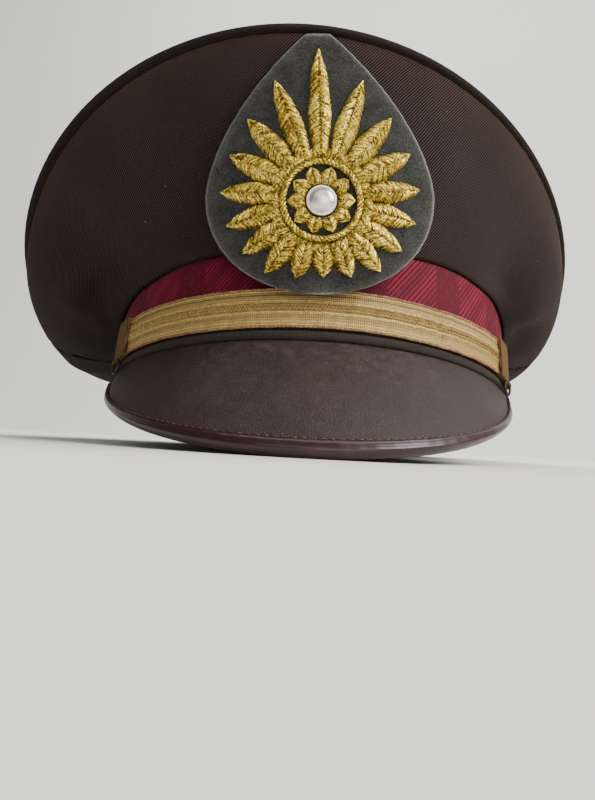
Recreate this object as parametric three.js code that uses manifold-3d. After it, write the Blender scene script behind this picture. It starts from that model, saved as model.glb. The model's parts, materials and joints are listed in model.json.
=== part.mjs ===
// A uniform cap with a high front, a stiff peak and an embroidered felt badge.
// Millimetres, +Z up. The cap is drawn about its band first, with +X to the wearer's left,
// -Y to the front and Z = 0 at the band's lower rim. At the end it is set down on a table.

import * as THREE from 'three';
import { mergeVertices } from 'three/addons/utils/BufferGeometryUtils.js';
import Module from 'manifold-3d';

const wasm = await Module();
wasm.setup();

// Head band
const headWidth = 166;
const headLength = 204;
const headWidest = 4;
const headRoundness = 2.08;
const bandWall = 3;
const bandHeight = 38;
const bandTaper = 1.8;
const fit = 0.3;

// Ribbon, lower welt and strap
const ribbonWall = 1;
const welt = { bottom: 0.6, height: 3.3, proud: 2.2 };
const lace = { bottom: 4.4, height: 14, wall: 1.2, end: 52, joint: 28.5, step: 0.5 };
const slide = { length: 9, wall: 3, overhang: 0.7 };
const tab = { length: 12, wall: 1.2, drop: 4 };
const loop = { wire: 1.2, width: 6, height: 5.5, stand: 0.2 };

// Crown
const clothWall = 1.6;
const seamHeight = 33;
const seamLean = 3.4;
const crown = { width: 240.4, front: 127.2, rear: 125.6, roundness: 1.98, shift: -9 };
const crownHeight = { front: 96, side: 43, rear: 48.5, crest: -3 };
const pipingRadius = 1.55;
const rim = { radius: 1.5, out: 0.4 };
const topSag = 2.5;
const sideSeam = 95;

// Peak
const peak = { length: 52.8, halfWidth: 77.9, shift: -1.7, wall: 2.2, slope: 46, edgeSlope: 58, end: 66 };
const peakRoundness = 2.12;
const binding = { width: 5.2, wall: 0.8 };

// Felt badge and its raised embroidery
const badge = { width: 76, height: 84, wall: 3, foot: 15.5, tip: 4, lean: 4.3, centre: -1.6, bow: 0.8 };
const badgeWidestShare = 0.41;
const badgeTaper = 1.68;
const rope = { radius: 12.4, wire: 2.3, height: 30 };
const burst = { leaves: 18, margin: 5.5, width: 7.4, relief: 1.7, base: 0.7, hub: 3.6 };
const rosette = { petals: 10, inner: 5.8, outer: 10.8, width: 5.4, relief: 1.5, base: 0.7 };
const boss = { radius: 5.2, relief: 2.4, rim: 0.8 };

const wholeTurn = 360;
const ringStations = 60;
const cordSides = 6;

// How the crown's cloth runs from its seam on the band up to the piping. Angles from the front.
// drop: share of the seam height that the seam lies lower there.
// leave: angle in degrees at which the cloth leaves the band, above the horizontal.
// push and rise: how far each end keeps its direction, as shares of the way across.
// belly: how far the cloth stands out past the piping, as a share of that way.
const crownSections = [
  { angle: 0, drop: 0, leave: 62, push: 0.3, rise: 0.14, belly: 0 },
  { angle: 30, drop: -0.04, leave: 60, push: 0.3, rise: 0.16, belly: 0 },
  { angle: 50, drop: 0, leave: 42, push: 0.34, rise: 0.26, belly: 0.03 },
  { angle: 70, drop: 0.13, leave: 6, push: 0.42, rise: 0.4, belly: 0.08 },
  { angle: 90, drop: 0.22, leave: 2, push: 0.42, rise: 0.36, belly: 0.03 },
  { angle: 120, drop: 0.2, leave: 6, push: 0.42, rise: 0.38, belly: 0.03 },
  { angle: 150, drop: 0.14, leave: 12, push: 0.4, rise: 0.4, belly: 0.04 },
  { angle: 180, drop: 0.12, leave: 16, push: 0.4, rise: 0.4, belly: 0.04 },
];

// Soft folds and dents in the crown's sides.
// angle and spread in degrees, at and tall as shares of the way up, depth as a share of the front height.
const folds = [
  { angle: -56, spread: 9, at: 0.5, tall: 0.4, depth: 0.034 },
  { angle: -40, spread: 7, at: 0.62, tall: 0.35, depth: -0.014 },
  { angle: -64, spread: 6, at: 0.16, tall: 0.16, depth: 0.03 },
  { angle: 47, spread: 6, at: 0.3, tall: 0.3, depth: 0.018 },
  { angle: 60, spread: 7, at: 0.45, tall: 0.35, depth: -0.012 },
  { angle: 78, spread: 6, at: 0.2, tall: 0.2, depth: 0.022 },
  { angle: 128, spread: 9, at: 0.4, tall: 0.35, depth: 0.02 },
  { angle: 228, spread: 10, at: 0.4, tall: 0.35, depth: 0.022 },
];

const radians = (degrees) => degrees * Math.PI / 180;
const mix = (a, b, t) => a + (b - a) * t;
const signedPower = (value, power) => Math.sign(value) * Math.abs(value) ** power;

// Evenly spaced values from one end to the other, both included.
function spread(from, to, steps) {
  return Array.from({ length: steps + 1 }, (_, i) => mix(from, to, i / steps));
}

// All the way round in equal steps, for pieces that close on themselves.
const fullTurn = spread(-180, 180, ringStations).slice(0, -1);

// A row of the crown's table at any angle, eased between the two rows beside it.
function crownRow(angle) {
  const away = Math.abs(((angle + 540) % 360) - 180);
  const next = Math.max(1, crownSections.findIndex((row) => row.angle >= away));
  const a = crownSections[next - 1];
  const b = crownSections[next];
  const t = THREE.MathUtils.smoothstep(away, a.angle, b.angle);
  const row = {};
  for (const column of Object.keys(a)) row[column] = mix(a[column], b[column], t);
  return row;
}

// Outline of the band at a height, a distance outside its outer face.
function bandPoint(angle, height, outside) {
  const s = Math.sin(radians(angle));
  const c = Math.cos(radians(angle));
  const halfWidth = headWidth / 2 + bandWall;
  const halfLength = headLength / 2 + bandWall + Math.sign(c) * headWidest;
  const narrowing = 1 - bandTaper * height / bandHeight / halfWidth;
  const x = signedPower(s, 2 / headRoundness) * halfWidth;
  const y = headWidest - signedPower(c, 2 / headRoundness) * halfLength;
  return new THREE.Vector3(x * narrowing + outside * s, y * narrowing - outside * c, height);
}

function outward(angle) {
  return new THREE.Vector3(Math.sin(radians(angle)), -Math.cos(radians(angle)), 0);
}

// Height of the crown's edge, as a smooth saddle: share 1 is the edge itself, 0 the middle.
function crownLevel(angle, share) {
  const ends = (crownHeight.front + crownHeight.rear) / 2;
  const middle = (ends + crownHeight.side) / 2;
  const c = Math.cos(radians(angle));
  return middle
    + share * c * (crownHeight.front - crownHeight.rear) / 2
    + share ** 2 * Math.cos(radians(2 * angle)) * (ends - crownHeight.side) / 2
    + crownHeight.crest * (share ** 3 * Math.cos(radians(3 * angle)) - share * c);
}

// Centre line of the crown's piping, or a smaller loop of the same shape inside it.
function crownPoint(angle, share, outside = 0) {
  const s = Math.sin(radians(angle));
  const c = Math.cos(radians(angle));
  const reach = c > 0 ? crown.front : crown.rear;
  const x = crown.shift + signedPower(s, 2 / crown.roundness) * crown.width / 2 * share;
  const y = -signedPower(c, 2 / crown.roundness) * reach * share;
  return new THREE.Vector3(x, y, crownLevel(angle, share)).addScaledVector(outward(angle), outside);
}

function foldDepth(angle, share) {
  let depth = 0;
  for (const fold of folds) {
    const across = (angle - fold.angle) / fold.spread;
    const up = (share - fold.at) / fold.tall;
    depth += fold.depth * crownHeight.front * Math.exp(-across * across - up * up);
  }
  const pinned = Math.min(1, share * 8) * Math.min(1, (1 - share) * 8);
  return depth * pinned;
}

function seamLevel(angle) {
  return seamHeight * (1 - crownRow(angle).drop) + seamLean * Math.sin(radians(angle));
}

// A point on the crown's side cloth, with its normal, from the band (0) to the piping (1).
function crownSide(angle, share) {
  const row = crownRow(angle);
  const out = outward(angle);
  const up = new THREE.Vector3(0, 0, 1);
  const foot = bandPoint(angle, seamLevel(angle), fit + clothWall);
  const head = crownPoint(angle, 1);
  head.z -= pipingRadius + fit;
  const way = foot.distanceTo(head);
  const leave = radians(row.leave);
  const lower = foot.clone().addScaledVector(out, way * row.push * Math.cos(leave))
    .addScaledVector(up, way * row.push * Math.sin(leave));
  const upper = head.clone().addScaledVector(out, way * row.belly).addScaledVector(up, -way * row.rise);
  head.addScaledVector(out, clothWall / 4);
  const curve = new THREE.CubicBezierCurve3(foot, lower, upper, head);
  const along = curve.getTangent(share);
  const normal = out.clone().multiplyScalar(along.z).addScaledVector(up, -along.dot(out)).normalize();
  const point = curve.getPoint(share).addScaledVector(normal, -foldDepth(angle, share));
  return { point, normal };
}

// A closed body from points and triangles, turned so that its faces point outwards.
function body(points, triangles) {
  let volume = 0;
  for (const [a, b, c] of triangles) {
    volume += points[a].dot(points[b].clone().cross(points[c]));
  }
  const facing = volume > 0 ? triangles : triangles.map(([a, b, c]) => [a, c, b]);
  const geometry = new THREE.BufferGeometry();
  geometry.setAttribute('position', new THREE.Float32BufferAttribute(points.flatMap((p) => p.toArray()), 3));
  geometry.setIndex(facing.flat());
  geometry.computeVertexNormals();
  return geometry;
}

// Skins a row of cross-sections that all have the same number of points. A section's second half
// runs back beside its first half, so the two ends are closed by a strip across it.
function skin(sections, closed = false) {
  const size = sections[0].length;
  const rows = sections.length;
  const triangles = [];
  for (let i = 0; i < (closed ? rows : rows - 1); i += 1) {
    const a = i * size;
    const b = ((i + 1) % rows) * size;
    for (let j = 0; j < size; j += 1) {
      const k = (j + 1) % size;
      triangles.push([a + j, b + j, b + k], [a + j, b + k, a + k]);
    }
  }
  if (!closed) {
    const last = (rows - 1) * size;
    for (let j = 0; j < size / 2 - 1; j += 1) {
      const back = size - 1 - j;
      triangles.push([j, j + 1, back - 1], [j, back - 1, back]);
      triangles.push([last + j, last + back - 1, last + j + 1], [last + j, last + back, last + back - 1]);
    }
  }
  return body(sections.flat(), triangles);
}

// A cross-section from a face and its back, each listed from one edge to the other.
function walled(face, back) {
  return [...face, ...back.slice().reverse()];
}

function bandGeometry() {
  return skin(fullTurn.map((angle) => {
    const top = Math.min(bandHeight, seamLevel(angle) + clothWall * 2);
    return walled(
      [bandPoint(angle, 0, 0), bandPoint(angle, top, 0)],
      [bandPoint(angle, 0, -bandWall), bandPoint(angle, top, -bandWall)],
    );
  }), true);
}

function ribbonGeometry() {
  return skin(fullTurn.map((angle) => {
    const top = seamLevel(angle) - fit;
    const bottom = welt.bottom + welt.height + fit;
    const inner = fit;
    const outer = fit + ribbonWall;
    return walled(
      [bandPoint(angle, bottom, outer), bandPoint(angle, top, outer)],
      [bandPoint(angle, bottom, inner), bandPoint(angle, top, inner)],
    );
  }), true);
}

// The welt is a flat-backed roll under the strap.
function weltGeometry() {
  return skin(fullTurn.map((angle) => {
    const face = spread(0, 180, 3).map((turn) => {
      const level = welt.bottom + welt.height / 2 * (1 - Math.cos(radians(turn)));
      return bandPoint(angle, level, fit + welt.proud * (0.45 + 0.55 * Math.sin(radians(turn))));
    });
    const back = spread(welt.bottom, welt.bottom + welt.height, 3).map((level) => bandPoint(angle, level, fit));
    return walled(face, back);
  }), true);
}

const strapInner = 2 * fit + ribbonWall;

// The lace is slightly domed across its width.
function laceGeometry(from, to, wall) {
  const steps = Math.ceil(Math.abs(to - from) / 4);
  return skin(spread(from, to, steps).map((angle) => {
    const levels = spread(0, 1, 2);
    const face = levels.map((share) => bandPoint(
      angle,
      lace.bottom + lace.height * share,
      strapInner + wall * (0.75 + Math.sin(Math.PI * share) * 0.25),
    ));
    const back = levels.map((share) => bandPoint(angle, lace.bottom + lace.height * share, strapInner));
    return walled(face, back);
  }));
}

// Degrees round the band that a length takes at its side.
const degreesOf = (length) => length / (headWidth / 2 + bandWall) * 180 / Math.PI;
const laceGap = degreesOf(fit);
const slideFrom = lace.end + laceGap;
const slideTo = slideFrom + degreesOf(slide.length);
const tabFrom = slideTo + laceGap;
const tabTo = tabFrom + degreesOf(tab.length);

function slideGeometry(side) {
  const bottom = lace.bottom - slide.overhang + fit;
  const top = lace.bottom + lace.height + slide.overhang;
  return skin(spread(slideFrom * side, slideTo * side, 4).map((angle, i) => {
    const wall = slide.wall * (i === 0 || i === 4 ? 0.8 : 1);
    return walled(
      [bottom, top].map((level) => bandPoint(angle, level, strapInner + wall)),
      [bottom, top].map((level) => bandPoint(angle, level, strapInner)),
    );
  }));
}

// The strap's tail narrows towards its end behind the slide.
function tabGeometry(side) {
  return skin(spread(0, 1, 4).map((share) => {
    const angle = mix(tabFrom, tabTo, share) * side;
    const bottom = lace.bottom + fit;
    const top = lace.bottom + lace.height - tab.drop * share;
    return walled(
      [bottom, top].map((level) => bandPoint(angle, level, strapInner + tab.wall)),
      [bottom, top].map((level) => bandPoint(angle, level, strapInner)),
    );
  }));
}

// A small bent wire that holds the strap's end. It hangs below the slide, clear of the welt and of
// a folded binding.
function loopGeometry(side) {
  const angle = mix(slideFrom, slideTo, 0.6) * side;
  const stand = fit + welt.proud + fit + binding.wall + loop.stand;
  const seat = bandPoint(angle, 0, stand + loop.wire / 2);
  const out = outward(angle);
  const across = new THREE.Vector3(Math.cos(radians(angle)), Math.sin(radians(angle)), 0);
  const middle = lace.bottom - slide.overhang - loop.height / 2 - loop.wire / 2;
  const turns = 14;
  return skin(Array.from({ length: turns }, (_, i) => {
    const turn = radians(wholeTurn * i / turns);
    const way = across.clone().multiplyScalar(Math.cos(turn));
    way.z = Math.sin(turn);
    const centre = seat.clone().addScaledVector(across, loop.width / 2 * Math.cos(turn));
    centre.z = middle + loop.height / 2 * Math.sin(turn);
    return Array.from({ length: cordSides }, (_, j) => {
      const roll = radians(wholeTurn * j / cordSides);
      return centre.clone().addScaledVector(way, loop.wire / 2 * Math.cos(roll))
        .addScaledVector(out, loop.wire / 2 * Math.sin(roll));
    });
  }), true);
}

function crownSideGeometry(from, to) {
  const steps = Math.round((to - from) / (wholeTurn / ringStations));
  const shares = spread(0, 1, 8);
  return skin(spread(from, to, steps).map((angle) => {
    const samples = shares.map((share) => crownSide(angle, share));
    const face = samples.map(({ point }) => point);
    const back = samples.map(({ point, normal }) => point.clone().addScaledVector(normal, -clothWall));
    back[0] = bandPoint(angle, seamLevel(angle), fit);
    return walled(face, back);
  }));
}

function pipingGeometry() {
  return skin(fullTurn.map((angle) => Array.from({ length: cordSides }, (_, j) => {
    const roll = radians(wholeTurn * j / cordSides);
    const point = crownPoint(angle, 1, pipingRadius * Math.cos(roll));
    point.z += pipingRadius * Math.sin(roll);
    return point;
  })), true);
}

// The top is one sheet with a round rim, which lies on the piping.
function crownTopGeometry() {
  const shares = [0.45, 0.8];
  const lift = pipingRadius + fit + 2 * rim.radius;
  const sheet = (share, outside, down) => (angle) => {
    const point = crownPoint(angle, share, outside);
    point.z += lift - down - topSag * (1 - share * share);
    return point;
  };
  const roll = (turn) => (angle) => {
    const point = crownPoint(angle, 1, rim.out + rim.radius * Math.cos(radians(turn)));
    point.z += lift - rim.radius * (1 - Math.sin(radians(turn)));
    return point;
  };
  const rows = [
    ...shares.map((share) => sheet(share, 0, 0)),
    ...[90, 30, -30, -90].map(roll),
    sheet(1, -rim.radius, clothWall),
    ...shares.slice().reverse().map((share) => sheet(share, 0, clothWall)),
  ];
  const points = [sheet(0, 0, 0)(0), ...rows.flatMap((row) => fullTurn.map(row)), sheet(0, 0, clothWall)(0)];
  const triangles = [];
  const last = points.length - 1;
  for (let i = 0; i < ringStations; i += 1) {
    const next = (i + 1) % ringStations;
    triangles.push([0, 1 + i, 1 + next]);
    for (let k = 0; k < rows.length - 1; k += 1) {
      const a = 1 + k * ringStations;
      const b = a + ringStations;
      triangles.push([a + i, b + i, b + next], [a + i, b + next, a + next]);
    }
    triangles.push([last, last - ringStations + next, last - ringStations + i]);
  }
  return body(points, triangles);
}

// The peak bends down a little more towards its edge, along one arc.
function peakPoint(angle, length, lift = 0) {
  const foot = bandPoint(angle, 0, fit + welt.proud * 0.6);
  const bend = radians(peak.edgeSlope - peak.slope);
  const start = radians(peak.slope);
  const here = start + bend * length / peak.length;
  const radius = peak.length / bend;
  const forward = radius * (Math.sin(here) - Math.sin(start));
  const down = radius * (Math.cos(start) - Math.cos(here));
  const along = new THREE.Vector3(0, -Math.cos(here), -Math.sin(here));
  const step = bandPoint(angle + 1, 0, fit).sub(bandPoint(angle - 1, 0, fit));
  const normal = step.cross(along).normalize().negate();
  return new THREE.Vector3(foot.x, foot.y - forward, foot.z - down).addScaledVector(normal, lift);
}

function peakReach(angle) {
  const across = Math.abs(bandPoint(angle, 0, fit).x - peak.shift) / peak.halfWidth;
  return peak.length * Math.max(0.003, 1 - across ** peakRoundness) ** (1 / peakRoundness);
}

const peakAngles = spread(-peak.end, peak.end, 28);

function peakGeometry() {
  return skin(peakAngles.map((angle) => {
    const lengths = spread(0, peakReach(angle) - binding.wall - fit, 4);
    return walled(
      lengths.map((length) => peakPoint(angle, length)),
      lengths.map((length) => peakPoint(angle, length, -peak.wall)),
    );
  }));
}

// The binding is folded over the peak's edge.
function bindingGeometry() {
  return skin(peakAngles.map((angle) => {
    const reach = peakReach(angle);
    const inside = reach - binding.wall;
    const width = Math.min(binding.width, reach * 0.6);
    const over = fit + binding.wall;
    const below = -peak.wall - over;
    return walled(
      [[reach - width, over], [inside, over], [reach, over - binding.wall], [reach, below + binding.wall],
        [inside, below], [reach - width, below]].map(([length, lift]) => peakPoint(angle, length, lift)),
      [[reach - width, fit], [inside, fit], [inside, 0], [inside, -peak.wall],
        [inside, -peak.wall - fit], [reach - width, -peak.wall - fit]]
        .map(([length, lift]) => peakPoint(angle, length, lift)),
    );
  }));
}

// Half width of the badge at a share of its height: round below, drawn up to a narrow tip.
function badgeHalfWidth(share) {
  const half = badge.width / 2;
  if (share < badgeWidestShare) {
    return half * Math.sqrt(Math.max(0.02, 1 - (1 - share / badgeWidestShare) ** 2));
  }
  const rest = (share - badgeWidestShare) / (1 - badgeWidestShare);
  return mix(half, badge.tip, rest ** badgeTaper);
}

// A point of the badge: u across and v up its face from its foot, h out of its back.
function badgePoint(u, v, h) {
  const lean = radians(badge.lean);
  const x = badge.centre + u * Math.cos(lean) - (v - badge.height / 2) * Math.sin(lean);
  const rise = (v * Math.cos(lean) + u * Math.sin(lean)) / badge.height;
  const strapFront = strapInner + lace.wall + fit;
  const lowHalfWidth = headWidth / 2 + bandWall + strapFront;
  const lowReach = headLength / 2 + bandWall + strapFront;
  const highReach = crown.front + pipingRadius + fit;
  const depth = (across, halfWidth, reach, roundness) => (
    reach * (1 - Math.min(0.98, Math.abs(across) / halfWidth) ** roundness) ** (1 / roundness));
  const low = depth(x, lowHalfWidth, lowReach, headRoundness);
  const high = depth(x - crown.shift, crown.width / 2 + pipingRadius, highReach, crown.roundness);
  const top = crownHeight.front + fit / 2;
  const z = mix(badge.foot, top, rise);
  const leanBack = Math.atan2(highReach - lowReach, top - badge.foot);
  const y = -mix(low, high, rise) - badge.bow * 4 * rise * (1 - rise);
  return new THREE.Vector3(x, y - h * Math.cos(leanBack), z - h * Math.sin(leanBack));
}

function badgeGeometry() {
  const rows = spread(0, 180, 14).map((turn) => (1 - Math.cos(radians(turn))) / 2);
  return skin(rows.map((share) => {
    const half = badgeHalfWidth(share);
    const columns = spread(-half, half, 8);
    const v = share * badge.height;
    return walled(
      columns.map((u) => badgePoint(u, v, badge.wall)),
      columns.map((u) => badgePoint(u, v, 0)),
    );
  }));
}

// A padded leaf or petal, lying on the felt from one radius to another about the rope ring's centre.
function leafGeometry(turn, from, to, width, relief, base) {
  const across = new THREE.Vector2(Math.cos(turn), -Math.sin(turn));
  const along = new THREE.Vector2(Math.sin(turn), Math.cos(turn));
  const foot = badge.wall + fit;
  const shape = [
    { share: 0, wide: 0.5, high: 0.4 },
    { share: 0.4, wide: 1, high: 1 },
    { share: 0.75, wide: 0.7, high: 0.85 },
    { share: 1, wide: 0.08, high: 0.2 },
  ];
  return skin(shape.map(({ share, wide, high }) => {
    const half = width / 2 * wide;
    const top = base + (relief - base) * high;
    const at = (side, lift) => {
      const middle = along.clone().multiplyScalar(mix(from, to, share)).addScaledVector(across, half * side);
      return badgePoint(middle.x, rope.height + middle.y, foot + lift);
    };
    return walled([at(-1, base * 0.7), at(0, top), at(1, base * 0.7)], [at(-1, 0), at(0, 0), at(1, 0)]);
  }));
}

// A flat ring or disc of thread on the felt, about the rope ring's centre.
function threadRing(inner, outer, thickness, steps) {
  const foot = badge.wall + fit;
  return skin(Array.from({ length: steps }, (_, i) => {
    const turn = 2 * Math.PI * i / steps;
    const at = (radius, lift) => badgePoint(
      radius * Math.sin(turn), rope.height + radius * Math.cos(turn), foot + lift);
    return walled([at(inner, thickness), at(outer, thickness)], [at(inner, 0), at(outer, 0)]);
  }), true);
}

function toManifold(geometry) {
  const merged = geometry.clone();
  merged.deleteAttribute('normal');
  const welded = mergeVertices(merged, 1e-5);
  return new wasm.Manifold(new wasm.Mesh({
    numProp: 3,
    vertProperties: new Float32Array(welded.attributes.position.array),
    triVerts: new Uint32Array(welded.index.array),
  }));
}

// Joins overlapping pieces of padding into one body.
function joined(geometries) {
  const [first, ...others] = geometries.map(toManifold);
  const mesh = others.reduce((sum, other) => sum.add(other), first).getMesh();
  const geometry = new THREE.BufferGeometry();
  geometry.setAttribute('position', new THREE.BufferAttribute(new Float32Array(mesh.vertProperties), 3));
  geometry.setIndex(new THREE.BufferAttribute(new Uint32Array(mesh.triVerts), 1));
  geometry.computeVertexNormals();
  return geometry;
}

// How far a leaf can run out from the ring's centre before it nears the badge's edge.
function leafReach(turn) {
  const inside = (radius) => {
    const v = rope.height + radius * Math.cos(turn);
    const share = v / badge.height;
    const half = share > 0 && share < 1 ? badgeHalfWidth(share) : 0;
    return Math.abs(radius * Math.sin(turn)) < half - burst.margin && v > burst.margin
      && v < badge.height - burst.margin;
  };
  let radius = rope.radius;
  while (inside(radius + 0.25)) radius += 0.25;
  return radius;
}

function burstGeometry() {
  const hub = rope.radius + rope.wire / 2 + fit;
  const leaves = Array.from({ length: burst.leaves }, (_, i) => {
    const turn = 2 * Math.PI * i / burst.leaves;
    return leafGeometry(turn, hub + burst.hub * 0.3, leafReach(turn), burst.width, burst.relief, burst.base);
  });
  return joined([threadRing(hub, hub + burst.hub, burst.base, burst.leaves), ...leaves]);
}

function rosetteGeometry() {
  const petals = Array.from({ length: rosette.petals }, (_, i) => {
    const turn = 2 * Math.PI * (i + 0.5) / rosette.petals;
    return leafGeometry(turn, rosette.inner, rosette.outer, rosette.width, rosette.relief, rosette.base);
  });
  return joined([threadRing(rosette.inner - 0.2, rosette.inner + 2.5, rosette.base, rosette.petals * 2), ...petals]);
}

function ropeGeometry() {
  const steps = 30;
  return skin(Array.from({ length: steps }, (_, i) => {
    const turn = 2 * Math.PI * i / steps;
    return Array.from({ length: cordSides }, (_, j) => {
      const roll = radians(wholeTurn * j / cordSides);
      const radius = rope.radius + rope.wire / 2 * Math.cos(roll);
      const lift = rope.wire / 2 * (1 + Math.sin(roll));
      return badgePoint(
        radius * Math.sin(turn), rope.height + radius * Math.cos(turn), badge.wall + fit + lift);
    });
  }), true);
}

// A plain domed boss in the middle of the rosette.
function bossGeometry() {
  const inner = Math.min(boss.radius, rosette.inner - 0.2 - fit);
  const profile = [
    { radius: 0, lift: boss.relief },
    { radius: 0.45, lift: boss.relief * 0.9 },
    { radius: 0.8, lift: boss.relief * 0.6 },
    { radius: 1, lift: boss.rim },
    { radius: 1, lift: 0 },
    { radius: 0, lift: 0 },
  ];
  const steps = 16;
  const foot = badge.wall + fit;
  const points = [];
  const triangles = [];
  const at = (radius, turn, lift) => badgePoint(
    radius * Math.sin(turn), rope.height + radius * Math.cos(turn), foot + lift);
  for (const row of profile.slice(1, -1)) {
    for (let i = 0; i < steps; i += 1) points.push(at(inner * row.radius, 2 * Math.PI * i / steps, row.lift));
  }
  const top = points.push(at(0, 0, boss.relief)) - 1;
  const under = points.push(at(0, 0, 0)) - 1;
  const last = (profile.length - 3) * steps;
  for (let i = 0; i < steps; i += 1) {
    const next = (i + 1) % steps;
    triangles.push([top, i, next]);
    triangles.push([under, last + next, last + i]);
    for (let k = 0; k < profile.length - 3; k += 1) {
      const a = k * steps;
      const b = a + steps;
      triangles.push([a + i, b + i, b + next], [a + i, b + next, a + next]);
    }
  }
  return body(points, triangles);
}

const finish = (color, roughness, metalness = 0) => (
  new THREE.MeshStandardMaterial({ color, roughness, metalness }));
const cloth = finish(0x3d322c, 0.85);
const pipingCloth = finish(0x322a22, 0.85);
const ribbonCloth = finish(0x6d1a35, 0.7);
const goldLace = finish(0xa8894f, 0.5, 0.35);
const slideCloth = finish(0x8f7148, 0.75);
const darkMetal = finish(0x3a352e, 0.4, 0.9);
const peakVinyl = finish(0x4d4244, 0.5);
const bindingVinyl = finish(0x4f3440, 0.25);
const felt = finish(0x3c3d3f, 0.95);
const goldThread = finish(0xd0ac46, 0.4, 0.6);
const whiteMetal = finish(0xd8d4cb, 0.3, 0.9);

const cap = new THREE.Group();
const pieces = [
  ['cap_band', bandGeometry(), cloth],
  ['band_ribbon', ribbonGeometry(), ribbonCloth],
  ['lower_welt', weltGeometry(), cloth],
  ['crown_front', crownSideGeometry(-sideSeam, sideSeam), cloth],
  ['crown_rear', crownSideGeometry(sideSeam + laceGap, wholeTurn - sideSeam - laceGap), cloth],
  ['crown_piping', pipingGeometry(), pipingCloth],
  ['crown_top', crownTopGeometry(), cloth],
  ['peak', peakGeometry(), peakVinyl],
  ['peak_binding', bindingGeometry(), bindingVinyl],
  ['strap_lace_long', laceGeometry(-lace.end, lace.joint, lace.wall), goldLace],
  ['strap_lace_short', laceGeometry(lace.joint + laceGap, lace.end, lace.wall + lace.step), goldLace],
  ['badge_felt', badgeGeometry(), felt],
  ['emblem_burst', burstGeometry(), goldThread],
  ['emblem_rope', ropeGeometry(), goldThread],
  ['emblem_rosette', rosetteGeometry(), goldThread],
  ['emblem_boss', bossGeometry(), whiteMetal],
];
for (const [name, side] of [['right', 1], ['left', -1]]) {
  pieces.push([`strap_slide_${name}`, slideGeometry(side), slideCloth]);
  pieces.push([`strap_tab_${name}`, tabGeometry(side), slideCloth]);
  pieces.push([`strap_loop_${name}`, loopGeometry(side), darkMetal]);
}
for (const [name, geometry, material] of pieces) {
  const mesh = new THREE.Mesh(geometry, material);
  mesh.name = name;
  cap.add(mesh);
}

// Set down by itself, the cap stands on the peak's edge and on the band's rim at the back.
function lowestPoint(name, tilt) {
  const position = cap.getObjectByName(name).geometry.attributes.position;
  let lowest = Infinity;
  for (let i = 0; i < position.count; i += 1) {
    const height = position.getY(i) * Math.sin(tilt) + position.getZ(i) * Math.cos(tilt);
    lowest = Math.min(lowest, height);
  }
  return lowest;
}
let [flatter, steeper] = [0, -radians(30)];
for (let i = 0; i < 40; i += 1) {
  const tilt = (flatter + steeper) / 2;
  if (lowestPoint('peak_binding', tilt) < lowestPoint('cap_band', tilt)) flatter = tilt;
  else steeper = tilt;
}
cap.rotation.x = (flatter + steeper) / 2;
cap.updateMatrixWorld(true);
const box = new THREE.Box3().setFromObject(cap, true);
const centre = box.getCenter(new THREE.Vector3());
cap.position.set(-centre.x, -centre.y, -box.min.z);

const policeCap = new THREE.Group();
policeCap.add(cap);

export default policeCap;
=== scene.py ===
# %% [markdown]
# # A uniform cap with an embroidered badge
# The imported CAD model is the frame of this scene: it fixes every size and place. Each cell below
# takes one piece of the cap, says what it is on the real thing, and gives it its final surface.
# Lengths are in millimetres until a point is set down in the frame, which is in metres.

# %% Load the frame
import json
import math
import random

import bpy
from mathutils import Vector, Matrix


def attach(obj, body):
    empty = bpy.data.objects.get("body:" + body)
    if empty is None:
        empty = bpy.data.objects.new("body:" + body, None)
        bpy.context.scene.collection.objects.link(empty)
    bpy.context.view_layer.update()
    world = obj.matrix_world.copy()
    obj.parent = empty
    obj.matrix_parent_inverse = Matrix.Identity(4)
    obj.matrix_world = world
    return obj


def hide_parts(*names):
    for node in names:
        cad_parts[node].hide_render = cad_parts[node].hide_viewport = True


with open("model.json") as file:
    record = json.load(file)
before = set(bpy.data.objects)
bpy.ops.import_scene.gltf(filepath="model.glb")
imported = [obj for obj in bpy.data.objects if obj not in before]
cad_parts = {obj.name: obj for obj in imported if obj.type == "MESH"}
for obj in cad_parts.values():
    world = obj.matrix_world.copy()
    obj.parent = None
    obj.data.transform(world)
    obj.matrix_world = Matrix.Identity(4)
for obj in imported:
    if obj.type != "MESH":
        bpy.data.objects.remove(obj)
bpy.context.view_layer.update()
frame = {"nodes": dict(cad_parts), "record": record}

# %% [markdown]
# ## The cap's own frame
# A cap is easiest to think about standing level on its band: X to its left side, -Y to the front,
# Z up from the band's lower rim. Set on a table it leans forward onto its peak. The record gives
# the rear rim's place and direction, and both tell us the lean.

# %% Level cap to table
MM = 0.001
rim = frame["record"]["mounts"][0]
RIM_ON_LEVEL_CAP = Vector((0, 103.5, 0))
lean = Matrix.Rotation(math.asin(rim["axis"][1]), 3, "X")
stand = Vector(rim["pos_m"]) - lean @ (RIM_ON_LEVEL_CAP * MM)


def set_down(point):
    """A point of the level cap, in millimetres, in the scene's frame."""
    return lean @ (Vector(point) * MM) + stand


print("lean, degrees:", round(math.degrees(math.asin(rim["axis"][1])), 2))

# %% [markdown]
# ## Sizes
# The same driving sizes as the CAD model, in millimetres and degrees. Angles run round the cap from
# the front, positive towards +X.

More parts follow.
